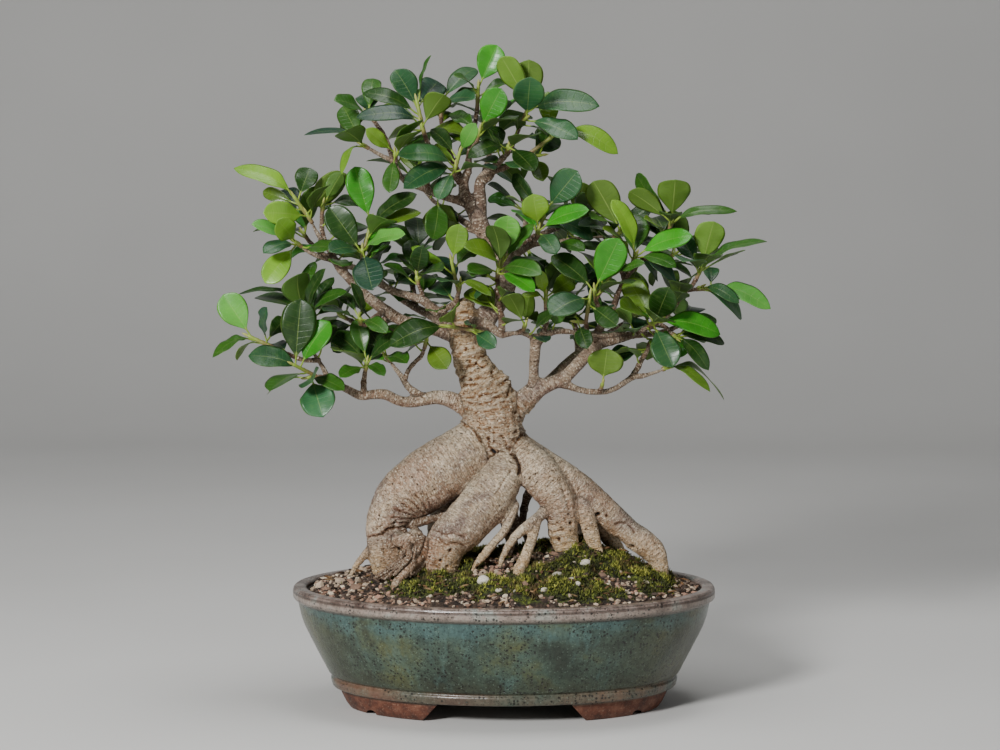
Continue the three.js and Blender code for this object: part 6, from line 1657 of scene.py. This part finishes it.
for goal in np.array(THIN_PLACES, float):
    gap = np.linalg.norm(twig_front - goal, axis=1)
    sites = twig_rows[(gap > 9) & (gap < 30)]
    grown = 0
    for _ in range(PLACE_TRIES if len(sites) else 0):
        site = sites[int(draw() * len(sites))]
        middle = at(goal[0] + between(-5, 5), goal[1] + between(-5, 5), site[1] + between(-16, 24))
        grown += twig_leaf(site, site[:3] + 1.4 * (middle - site[:3]))
        if grown == PLACE_LEAVES:
            break
grown = 0
for _ in range(CHANCE_TRIES):
    site = twig_rows[int(draw() * len(twig_rows))]
    turn, length = between(0, 2 * math.pi), between(24, 35)
    ahead = unit(np.array([math.cos(turn), math.sin(turn), between(-0.3, 0.8)]))
    grown += twig_leaf(site, site[:3] + ahead * length)
    if grown == CHANCE_LEAVES:
        break
print("leaves on the twigs:", len(inner["leaves"]))

# %% [markdown]
# ## Fine leaves
#
# A leaf of this fig is a leathery oval, widest past its middle, with a short blunt point. It folds
# up along the midrib, its edges curl and wave a little, and the midrib stands out below and runs as a
# pale groove above. A flat cut-out with a picture would look thin from the side, so every leaf is a
# closed blade: rings run round the upper and lower faces, from the stalk to the point. The stalk is a
# thin green tube that widens into the blade.

# %% Leaf shape
HALF_WIDTHS = [
    # share of the blade's length, share of its greatest half width
    (0.0, 0.05), (0.05, 0.13), (0.12, 0.3), (0.2, 0.49), (0.3, 0.71), (0.4, 0.87), (0.5, 0.965),
    (0.6, 1.0), (0.7, 0.985), (0.78, 0.93), (0.85, 0.825), (0.9, 0.69), (0.94, 0.52), (0.965, 0.35),
    (0.98, 0.2), (1.0, 0.02),
]
BLADE_ROWS = 19
BLADE_COLUMNS = 11
BLADE_THICK = 0.42
STALK_SIDES = 8

chance = np.random.default_rng(77)
blade_stations = 1 - (1 - np.linspace(0, 1, BLADE_ROWS)) ** 1.15


def blade_outline(shares):
    knots, widths = np.array(HALF_WIDTHS).T
    return np.interp(shares, knots, widths)


def leaf_blade(leaf):
    """Ring points of a blade, with the share of its length and width and its side for each."""
    wave, swing, curl, bulge = chance.uniform((0.2, -3.5, -0.04, 0.0), (1.3, 3.5, 0.13, 0.05))
    turns = chance.uniform(1.2, 2.3)
    phase = chance.uniform(0, 6.28, 2)
    column = np.linspace(-1, 1, BLADE_COLUMNS)
    column = np.sign(column) * np.abs(column) ** 0.85
    around = np.concatenate([column, column[-2:0:-1]])
    top = np.concatenate([np.ones(BLADE_COLUMNS), np.zeros(BLADE_COLUMNS - 2)])
    top[[0, BLADE_COLUMNS - 1]] = 0.5
    s, v = np.meshgrid(blade_stations, around, indexing="ij")
    side = np.broadcast_to(top, s.shape)
    half = 1.05 * leaf["half"] * blade_outline(s)
    across = v * half
    along = leaf["stalk"] + s * leaf["length"]
    height = blade_height(leaf, along, across)
    height += leaf["length"] * bulge * np.sin(math.pi * s)
    height += curl * across ** 2 / np.maximum(leaf["half"], 1)
    phases = np.where(v > 0, phase[0], phase[1])
    height += wave * np.sin(turns * 2 * math.pi * s + phases) * v ** 2 * np.sin(math.pi * s)
    height += math.tan(math.radians(swing)) * across * s
    groove = np.exp(-(across / 0.55) ** 2) * (1 - 0.6 * s)
    thick = BLADE_THICK * (1 - 0.65 * v ** 4)
    height += np.where(side == 1, thick / 2 - 0.22 * groove, 0)
    height -= np.where(side == 0, thick / 2 + 0.55 * groove, 0)
    points = leaf_place(leaf, along.ravel(), across.ravel(), height.ravel())
    return points, s.ravel(), v.ravel(), side.ravel()


def leaf_stalk(leaf):
    """Ring points of a stalk from inside the stem to just inside the blade."""
    along = np.array([-LEAF["sunk"], 0.6, 0.25 * leaf["stalk"], 0.6 * leaf["stalk"], leaf["stalk"],
                      leaf["stalk"] + 0.1 * leaf["length"]])
    droop = 0.5 * np.sin(np.clip(along / leaf["stalk"], 0, 1) * math.pi)
    centres = leaf_place(leaf, along, along * 0, -droop - 0.15)
    radii = np.array([0.95, 0.9, 0.66, 0.6, 0.62, 0.3])
    return tube_points(centres, radii, STALK_SIDES)


points, *_ = leaf_blade(placed[0])
print("a blade has", len(points), "points")
chance = np.random.default_rng(77)

# %% [markdown]
# The stem of a shoot runs straight to its bud, brown where it starts and green above, with a ring at
# each stalk. The bud is a slim green-red cone, rolled up from the next leaf.

# %% Stem shape


def stem_parts(shoot):
    """Ring points of a stem and its bud, and how far along each ring is."""
    run = shoot["stop"] - shoot["start"]
    length = math.sqrt(run @ run)
    ahead = run / length
    steps = np.linspace(-0.04, 1, 15)
    centres = shoot["start"] + np.outer(steps, run)
    radii = np.interp(steps, (0, 1), (shoot["radius"], STEM["tip"]))
    for order in range(shoot["count"]):
        away = (steps - stalk_share(shoot, order)) * length
        radii = radii + 0.28 * np.exp(-(away / 0.9) ** 2)
    bud_steps = np.array([0.12, 0.35, 0.65, 0.88, 1.0])
    bud_radii = STEM["tip"] * np.array([0.8, 1.0, 0.72, 0.36, 0.08])
    bud = shoot["stop"] + np.outer(bud_steps * STEM["bud"], ahead)
    centres = np.vstack([centres, bud])
    shares = np.concatenate([np.clip(steps, 0, 1), 1 + bud_steps])
    return centres, np.concatenate([radii, bud_radii]), shares


centres, radii, _ = stem_parts(shoots[0])
print("a stem has", len(centres), "rings")

# %% [markdown]
# ### Leaf tones
#
# Young leaves are yellow-green, old ones dark, and the gloss of the sky turns some of them bluish. The
# letter of each leaf picks its tone, and chance shifts it a little, so that no two are the same.

# %% Tones
TONES = {
    "d": "#1d3a12", "m": "#2c5517", "o": "#4d6a1d", "y": "#678f28", "g": "#35831c", "b": "#274e2c",
    "k": "#1e3d2a", "p": "#55933a", "q": "#35633f",
}
RULE_TONES = "dmmbkdmogd"


def leaf_tone(leaf):
    letter = leaf["tone"]
    if letter == "r":
        letter = RULE_TONES[chance.integers(len(RULE_TONES))]
    tone = np.array(colour(TONES[letter]))
    tone[:3] *= chance.uniform(0.85, 1.15)
    tone[:3] *= chance.uniform((0.93, 0.97, 0.9), (1.07, 1.03, 1.1))
    return tone


print("tones:", len(TONES))

# %% [markdown]
# ### Leaf material
#
# The upper face is glossy and shows a pale midrib and fine side veins that leave it at a wide angle and
# join near the edge. The lower face is paler and dull. The recipe reads the place on the blade, which
# each point carries as three numbers: along, across and which face. Light that passes through a thin
# blade is given by a little subsurface scattering.

# %% Leaf material
SIDE_VEINS = 9


def leaf_finish():
    r = Recipe("fig_leaf", IOR=1.45, Specular_IOR_Level=0.32, Coat_Weight=0.1, Coat_Roughness=0.2,
               Subsurface_Weight=0.08, Subsurface_Scale=0.002)
    r.shader.inputs["Subsurface Radius"].default_value = (0.6, 1.0, 0.2)
    blade = r.number("blade", "Vector")
    own = r.number("tone", "Color")
    apart = r.node("SeparateXYZ", {"Vector": blade})
    along, across, face = (apart.outputs[axis] for axis in "XYZ")
    away = r.sums("ABSOLUTE", across)
    mottle = r.cloud(r.where, 150, 4, 0.6)
    broad = r.cloud(r.where, 55, 3, 0.5)
    light = r.ramp(broad, 0.3, (0.55, 0.6, 0.55), 0.5, (1, 1, 1), 0.72, (1.45, 1.35, 1.15))
    tone = r.mix(0.6, own, r.mix(1.0, own, light, "MULTIPLY"))
    tone = r.over(tone, (r.step(mottle, 0.5, 0.72), 0.2, r.mix(0.5, own, "#7d9a4c")))
    lift = r.times(away, 0.7)
    phase = r.minus(r.times(along, float(SIDE_VEINS)), lift)
    wave = r.sums("ABSOLUTE", r.minus(r.sums("FRACT", phase), 0.5))
    veins = r.step(wave, 0.42, 0.49)
    inside = r.times(veins, r.step(away, 0.95, 0.7))
    tone = r.over(tone, (inside, 0.08, r.mix(0.5, own, "#9db56e")))
    thinning = r.sums("MULTIPLY_ADD", along, -0.035, 0.052)
    midrib = r.step(r.sums("DIVIDE", away, thinning), 1.0, 0.5)
    tone = r.over(tone, (midrib, 0.32, r.mix(0.7, own, "#a3b862")))
    edge = r.step(away, 0.93, 0.995)
    tone = r.over(tone, (edge, 0.4, r.mix(0.6, own, "#9dbb5c")))
    base = r.step(along, 0.1, 0.0)
    tone = r.over(tone, (base, 0.6, "#93ab55"))
    pale = r.mix(0.45, own, "#5f7d34")
    pale = r.over(pale, (midrib, 0.5, "#9aae5c"))
    tone = r.mix(r.step(face, 0.45, 0.1), tone, pale)
    stalk = r.step(along, -0.4, -0.6)
    tone = r.mix(stalk, tone, r.ramp(mottle, 0.35, "#708a2c", 0.65, "#95ab45"))
    gloss = r.plus(r.node("MapRange", {"Value": mottle, "To Min": 0.27, "To Max": 0.42}).outputs[0],
                   r.times(r.step(face, 0.45, 0.1), 0.25))
    return r.dress(tone, gloss, r.weighted((veins, -0.3), (mottle, 0.6)), 0.00025)


def stem_finish():
    r = Recipe("green_stem", Roughness=0.5)
    gone = r.number("blade", "Vector")
    along = r.node("SeparateXYZ", {"Vector": gone}).outputs["X"]
    grain = r.cloud(r.where, 500, 4, 0.6)
    shifted = r.plus(along, r.times(r.minus(grain, 0.5), 0.5))
    tone = r.ramp(shifted, 0.1, "#7d6448", 0.4, "#7c7a3c", 0.7, "#80923a", 1.0, "#8fa642")
    bud = r.step(along, 1.0, 1.3)
    tone = r.over(tone, (bud, 0.7, "#a5a05a"))
    return r.dress(tone, None, grain, 0.0002)


leaf_material = leaf_finish()
stem_material = stem_finish()
print("leaf and stem materials ready")

# %% [markdown]
# Each limb's shoots become one piece, like the node that they stand for: stems, stalks and blades with
# two materials in one mesh.

# %% Leafy shoots
STALK_MARK = (-1.0, 0.0, 0.5)
STEM_TONE = colour("#93a04c")


def shoot_mesh(name, members):
    points, faces, blade, tone, looks = [], [], [], [], []
    total = 0

    def add(ring_points, rings, sides, marks, tones, look):
        nonlocal total
        new_faces = ring_faces(rings, sides, total)
        faces.extend(new_faces)
        looks.extend([look] * len(new_faces))
        points.append(ring_points)
        blade.append(marks)
        tone.append(np.broadcast_to(tones, (len(ring_points), 4)))
        total += len(ring_points)

    for shoot in members:
        if "start" in shoot:
            centres, radii, shares = stem_parts(shoot)
            marks = np.zeros((len(centres) * STALK_SIDES, 3))
            marks[:, 0] = np.repeat(shares, STALK_SIDES)
            add(tube_points(centres, radii, STALK_SIDES), len(centres), STALK_SIDES, marks, STEM_TONE, 1)
        for leaf in shoot["leaves"]:
            own = leaf_tone(leaf)
            stalk = leaf_stalk(leaf)
            marks = np.broadcast_to(STALK_MARK, stalk.shape)
            add(stalk, len(stalk) // STALK_SIDES, STALK_SIDES, marks, own, 0)
            ring_points, s, v, side = leaf_blade(leaf)
            sides = 2 * BLADE_COLUMNS - 2
            add(ring_points, BLADE_ROWS, sides, np.column_stack([s, v, side]), own, 0)
    mesh = bare_mesh(name, np.vstack(points), faces)
    add_numbers(mesh, "blade", np.vstack(blade))
    add_numbers(mesh, "tone", np.vstack(tone))
    return mesh, looks


leaf_faces = 0
for index, limb in enumerate(limb_names):
    number = f"{index + 1:02d}"
    members = [shoot for shoot in shoots if shoot["limb"] == index]
    mesh, looks = shoot_mesh(f"leafy_shoot_{number}", members)
    piece(f"leafy_shoot_{number}", mesh, leaf_material, [f"spray_{number}"])
    mesh.materials.append(stem_material)
    mesh.polygons.foreach_set("material_index", looks)
    leaf_faces += len(mesh.polygons)
mesh, _ = shoot_mesh("inner_leaves", [inner])
piece("inner_leaves", mesh, leaf_material, [])
print("faces in all leaves:", leaf_faces, "and on the twigs:", len(mesh.polygons))

# %% [markdown]
# ## Soil
#
# The pot is filled to just under the rim, and the soil is heaped towards the roots. It is a dark mix of
# bark, peat and grit. Its top is a close grid of rings that follow the frame's heap, with lumps and
# crumbs from noise, and it closes below as the frame's soil does.

# %% Soil body
SOIL_SIDES = 240
SOIL_RINGS = 84


def level_places(x, y, size):
    """Places on the ground, counted in steps of a size."""
    return np.column_stack([x / size, y / size, np.zeros(len(x))])


def moss_cover(x, y):
    """How thick the moss lies at each place, from 0 to 1."""
    patch = rough(level_places(x, y, 17), 3, 200)
    half = SOIL["half"]
    out = np.sqrt((x / half) ** 2 + (y / oval_depth(half)) ** 2)
    edge = np.clip((0.97 - out) / 0.1, 0, 1)
    left_bare = np.clip((-x - 62) / 24, 0, 1) * 0.9
    right_bare = np.clip((x - 112) / 14, 0, 1)
    front_bare = np.clip((-y - 70) / 12, 0, 1) * np.clip((10 - x) / 50, 0, 1)
    return np.clip(1.1 + 1.4 * patch, 0, 1) * edge * np.clip(1 - left_bare - right_bare - front_bare, 0, 1)


def clump(x, y):
    """Cushions of the moss, from about -1 between them to 1 on top."""
    return rough(level_places(x, y, 7), 2, 220)


def ground(x, y):
    """Height of the soil's surface with its moss, and how mossy it is."""
    cover = moss_cover(x, y)
    crumbs = 0.9 * rough(level_places(x, y, 5), 3, 210) * (1 - 0.5 * cover)
    cushions = cover * (2.2 + 2.8 * clump(x, y))
    return soil_height(x, y) + crumbs + cushions, cover


def soil_mesh():
    shares = np.linspace(1, 0.004, SOIL_RINGS)
    turn = turns(SOIL_SIDES)
    half = SOIL["half"]
    x = (half * shares[:, None] * np.cos(turn)).ravel()
    y = (float(oval_depth(half)) * shares[:, None] * np.sin(turn)).ravel()
    z, cover = ground(x, y)
    fade = np.repeat(np.clip((1 - shares) / 0.03, 0, 1), SOIL_SIDES)
    z = SOIL["edge"] + (z - SOIL["edge"]) * fade
    top = np.column_stack([x, y, z])
    gap = SOIL["wall_gap"]
    lower = oval(np.array([(0.5, 23), (113 - gap, 23), (121.5 - gap, 30), (134.5 - gap, 58)]), SOIL_SIDES)
    points = np.vstack([lower, top])
    mesh = bare_mesh("soil_body", points, ring_faces(4 + SOIL_RINGS, SOIL_SIDES))
    return mesh, np.concatenate([np.zeros(len(lower)), cover])


def soil_finish():
    r = Recipe("potting_mix", Roughness=0.95)
    moss = r.number("moss")
    crumbs = r.cloud(r.where, 260, 6, 0.7)
    bits = r.node("TexVoronoi", {"Vector": r.where, "Scale": 420})
    earth_tone = r.ramp(crumbs, 0.38, "#120d09", 0.48, "#2a1e15", 0.58, "#46362a", 0.7, "#7d6752")
    kind = r.node("SeparateColor", {"Color": bits.outputs["Color"]})
    chip = r.times(r.sums("GREATER_THAN", kind.outputs[0], 0.8),
                   r.step(bits.outputs["Distance"], 0.5, 0.3))
    earth_tone = r.over(earth_tone, (chip, 0.7, r.mix(kind.outputs[1], "#9a7f6b", "#5e3d2e")))
    green = r.ramp(r.cloud(r.where, 330, 5, 0.7), 0.38, "#14140a", 0.48, "#2b300f", 0.58, "#4b551a", 0.7,
                   "#7c8530")
    tone = r.mix(r.step(r.plus(moss, r.times(crumbs, 0.5)), 0.4, 0.62), earth_tone, green)
    height = r.plus(crumbs, r.times(bits.outputs["Distance"], 0.6))
    return r.dress(tone, None, height, 0.002)


mesh, moss_numbers = soil_mesh()
add_numbers(mesh, "moss", moss_numbers)
piece("soil_surface", mesh, soil_finish(), ["soil"])
print("soil faces:", len(mesh.polygons))

# %% [markdown]
# ### Moss
#
# The moss is a low yellow-green carpet of tiny leafy stems. Painting it green would leave it smooth,
# and hair would be lost on export. So it is some ten thousand sprigs, each a few pointed leaves that
# spread from one foot: slim closed spikes with four faces. They stand on the mossy parts of the
# soil, closest where the moss is thick, and keep away from the roots.

# %% Moss sprigs
SPRIGS = 10500
SPIKES = 4

chance = np.random.default_rng(5150)


def clear_of_roots(x, y, room):
    """Which places on the soil lie outside the roots."""
    z = soil_height(x, y) + 2
    spots = np.column_stack([x, y, z])
    near = np.zeros(len(x), bool)
    for start in range(0, len(spots), 4000):
        part = spots[start:start + 4000]
        gap = np.linalg.norm(part[:, None, :] - samples[None, :, :3], axis=2)
        near[start:start + 4000] = (gap < samples[:, 12] + room).any(axis=1)
    return ~near


def random_spots(number, keep):
    """Places on the soil, chosen by chance and kept with a likelihood."""
    x = chance.uniform(-SOIL["half"], SOIL["half"], number * 8)
    y = chance.uniform(-99, 99, number * 8)
    out = (x / (SOIL["half"] - 2)) ** 2 + (y / (99.1 - 2)) ** 2
    wanted = (out < 1) & (chance.random(len(x)) < keep(x, y))
    x, y = x[wanted], y[wanted]
    free = clear_of_roots(x, y, 0.3)
    return x[free][:number], y[free][:number]


def moss_mesh():
    x, y = random_spots(SPRIGS, lambda x, y: np.clip(moss_cover(x, y) * 1.4 - 0.12, 0, 1))
    z, cover = ground(x, y)
    feet = np.repeat(np.column_stack([x, y, z - 0.5]), SPIKES, axis=0)
    count = len(feet)
    turn = chance.uniform(0, 2 * math.pi, count)
    lean = chance.uniform(0.15, 1.15, count)
    length = chance.uniform(1.8, 4.6, count) * (0.6 + 0.5 * np.repeat(cover, SPIKES))
    width = chance.uniform(0.35, 0.75, count)
    ahead = np.column_stack([np.sin(lean) * np.cos(turn), np.sin(lean) * np.sin(turn), np.cos(lean)])
    side = np.column_stack([-np.sin(turn), np.cos(turn), turn * 0])
    over = np.cross(side, ahead)
    tips = feet + ahead * length[:, None]
    left = feet + ahead * (0.35 * length)[:, None] - side * width[:, None]
    right = feet + ahead * (0.35 * length)[:, None] + side * width[:, None]
    back = feet - over * 0.2
    points = np.stack([tips, left, right, back], axis=1).reshape(-1, 3)
    first = np.arange(count)[:, None] * 4
    faces = np.concatenate([first + (0, 1, 2), first + (0, 3, 1), first + (0, 2, 3), first + (1, 3, 2)])
    mesh = bare_mesh("moss_carpet", points, faces.tolist())
    shade = np.clip(chance.normal(0.42, 0.22, count) + 0.45 * np.repeat(clump(x, y), SPIKES), 0, 1)
    tip_light = np.stack([shade * 0.6 + 0.4, shade, shade, shade * 0.4], axis=1).ravel()
    add_numbers(mesh, "shade", tip_light)
    return mesh


def moss_finish():
    r = Recipe("moss_leaves", Roughness=0.75)
    shade = r.number("shade")
    broad = r.cloud(r.where, 60, 3)
    tone = r.ramp(shade, 0.1, "#191808", 0.4, "#3a3e10", 0.68, "#6a7420", 0.95, "#b6b44c")
    tone = r.over(tone, (r.step(broad, 0.52, 0.64), 0.75, "#5b4526"))
    return r.dress(tone)


mesh = moss_mesh()
piece("moss", mesh, moss_finish(), [])
print("moss faces:", len(mesh.polygons))

# %% [markdown]
# ### Grit and pebbles
#
# Pale, pink and brown chips of stone lie on the soil, most where the moss is thin: along the left and
# front edge, and at the right rim. Slim brown bits of bark lie among the moss. Eight white pebbles
# stand out: six where the frame's soil has a lump for them, and two smaller ones. A chip is a ball of
# twenty faces pushed out of shape, with flat faces, a bit of bark is a slimmer one, and the pebbles
# have more faces and rounder forms.

# %% Stones
CHIPS = 2600
PEBBLES = [(-14, -66, 7), (9, -78, 5), (27, -80, 4), (46, -62, 5), (56, -42, 5), (36, -55, 5),
           (-4, -78, 3.2), (50, -70, 2.8)]
CHIP_TONES = ["#d6c8b0", "#b7a38b", "#8f7360", "#66554a", "#c0ab94", "#c9b49c", "#43362c", "#a0806b",
              "#b78f79", "#54453a"]
PEBBLE_TONES = ["#d9d3c6", "#cfc8ba"]
STICKS = 620
STICK_TONES = ["#5d4026", "#7a5836", "#3b281a", "#8f7350", "#493423"]


def ball_of(splits):
    work = bmesh.new()
    bmesh.ops.create_icosphere(work, subdivisions=splits, radius=1)
    points = np.array([v.co for v in work.verts])
    faces = np.array([[v.index for v in f.verts] for f in work.faces])
    work.free()
    return points, faces


def stones_mesh(name, x, y, sizes, splits, tones, angular, sink, slim=1):
    ball, ball_faces = ball_of(splits)
    count = len(x)
    z, _ = ground(x, y)
    stretch = chance.uniform((0.8, 0.55, 0.4), (1.0, 0.9, 0.7), (count, 3)) * sizes[:, None]
    stretch[:, 1:] *= slim
    local = ball[None] * stretch[:, None, :]
    bump = 1 + angular * np.stack([noise(ball * 1.7 + 9 * i, 300) for i in range(count)])
    local = local * bump[:, :, None]
    turn, tilt = chance.uniform(0, 2 * math.pi, count), chance.uniform(-0.35, 0.35, count)
    cx, sx, ct, st = np.cos(turn), np.sin(turn), np.cos(tilt), np.sin(tilt)
    u, v, w = local[..., 0], local[..., 1], local[..., 2]
    u, w = u * ct[:, None] + w * st[:, None], w * ct[:, None] - u * st[:, None]
    u, v = u * cx[:, None] - v * sx[:, None], u * sx[:, None] + v * cx[:, None]
    middle = np.column_stack([x, y, z + sizes * sink])
    points = (np.stack([u, v, w], axis=-1) + middle[:, None, :]).reshape(-1, 3)
    faces = (ball_faces[None] + (np.arange(count) * len(ball))[:, None, None]).reshape(-1, 3)
    mesh = bare_mesh(name, points, faces.tolist())
    picked = np.array([colour(tone) for tone in tones])[chance.integers(len(tones), size=count)]
    picked[:, :3] *= chance.uniform(0.75, 1.15, (count, 1))
    add_numbers(mesh, "tone", np.repeat(picked, len(ball), axis=0))
    return mesh


def stone_finish():
    r = Recipe("grit_stone", Roughness=0.85)
    own = r.number("tone", "Color")
    grain = r.cloud(r.where, 1200, 4, 0.7)
    tone = r.mix(1.0, own, r.ramp(grain, 0.3, (0.55, 0.52, 0.5), 0.6, (1, 1, 1)), "MULTIPLY")
    return r.dress(tone, None, grain, 0.0004)


stone = stone_finish()
x, y = random_spots(CHIPS, lambda x, y: np.clip(0.95 - 1.5 * moss_cover(x, y), 0.06, 1))
mesh = stones_mesh("grit", x, y, chance.gamma(2.4, 0.46, len(x)) + 0.5, 1, CHIP_TONES, 0.5, 0.1)
piece("grit", mesh, stone, [])
mesh.polygons.foreach_set("use_smooth", [False] * len(mesh.polygons))
chips = len(x)
x, y = random_spots(STICKS, lambda x, y: 0.3 + 0.5 * moss_cover(x, y))
mesh = stones_mesh("debris", x, y, chance.uniform(1.6, 5.2, len(x)), 1, STICK_TONES, 0.5, 0.45, 0.3)
piece("bark_debris", mesh, stone, [])
px, py, size = np.array(PEBBLES, float).T
mesh = stones_mesh("pebbles", px, py, size * 0.8, 3, PEBBLE_TONES, 0.3, 0.12)
piece("white_pebbles", mesh, stone, [])
print("chips:", chips, "bits of bark:", len(x), "pebbles:", len(px))

# %% [markdown]
# ## Floor, light and camera
#
# The plant stands on a plain pale floor that curves up behind it. The main light stands in front, to
# the left and above. It is fairly small, so it models the folds and gives the leaves their gloss. A
# broad weak one fills from the right, another lights the crown from above, and the sky is dim. The
# camera is where the eye of the places above is: two metres away, looking down by five degrees, with
# a long lens.

# %% Studio
FLOOR = {"half": 3.0, "front": -3.5, "back": 1.6, "rise": 2.6, "bend": 0.9}


def floor_mesh():
    turn = np.linspace(0, math.pi / 2, 17)
    bend = FLOOR["bend"]
    line = [(FLOOR["front"], 0.0)]
    line += [(FLOOR["back"] + bend * math.sin(t), bend * (1 - math.cos(t))) for t in turn]
    line += [(FLOOR["back"] + bend, FLOOR["rise"])]
    points = [(x, y, z) for y, z in line for x in (-FLOOR["half"], FLOOR["half"])]
    faces = [(2 * i, 2 * i + 1, 2 * i + 3, 2 * i + 2) for i in range(len(line) - 1)]
    mesh = bpy.data.meshes.new("studio_floor")
    mesh.from_pydata(points, [], faces)
    mesh.polygons.foreach_set("use_smooth", [True] * len(mesh.polygons))
    return mesh


def floor_finish():
    r = Recipe("pale_floor", Roughness=0.9)
    tone = r.ramp(r.cloud(r.where, 2.5, 2), 0.3, "#c9c8c5", 0.7, "#cecdca")
    return r.dress(tone)


studio = in_scene("studio_floor", floor_mesh())
studio.data.materials.append(floor_finish())


def soft_light(name, place, target, size, power):
    light = bpy.data.lights.new(name, "AREA")
    light.shape = "SQUARE"
    light.size = size
    light.energy = power
    made = in_scene(name, light)
    made.location = place
    aim(made, target)


def aim(item, target):
    """Turns a light or camera at a place so that it looks at a target."""
    way = np.array(target, float) - np.array(item.location)
    item.rotation_euler = (math.atan2(math.hypot(way[0], way[1]), -way[2]), 0,
                           math.atan2(way[1], way[0]) - math.pi / 2)


soft_light("key", (-1.0, -1.9, 1.15), (0, 0, 0.2), 0.42, 72)
soft_light("fill", (1.7, -1.4, 0.8), (0, 0, 0.25), 1.3, 5)
soft_light("top", (0.1, 0.0, 1.9), (0, 0, 0.3), 0.9, 17)

world = bpy.data.worlds.new("soft_sky")
world.use_nodes = True
sky = world.node_tree.nodes["Background"].inputs
sky["Color"].default_value = (0.75, 0.78, 0.82, 1)
sky["Strength"].default_value = 0.13
bpy.context.scene.world = world
print("lights:", 3)

# %% Camera
SENSOR = 36.0
PICTURE_WIDTH = 1000
MM_PER_PIXEL = 0.7
TARGET_HEIGHT = 232.5

target = to_metres([[EYE["x"], 0, TARGET_HEIGHT]])[0]
eye = to_metres([[EYE["x"], -EYE["distance"], EYE["z"]]])[0]
distance = float(np.linalg.norm(eye - target))
camera = bpy.data.cameras.new("viewer")
camera.sensor_width = SENSOR
camera.lens = SENSOR * distance / (PICTURE_WIDTH * MM_PER_PIXEL * MM)
viewer = in_scene("viewer", camera)
viewer.location = eye
aim(viewer, target)
bpy.context.scene.camera = viewer
print("lens:", round(camera.lens, 2), "mm")
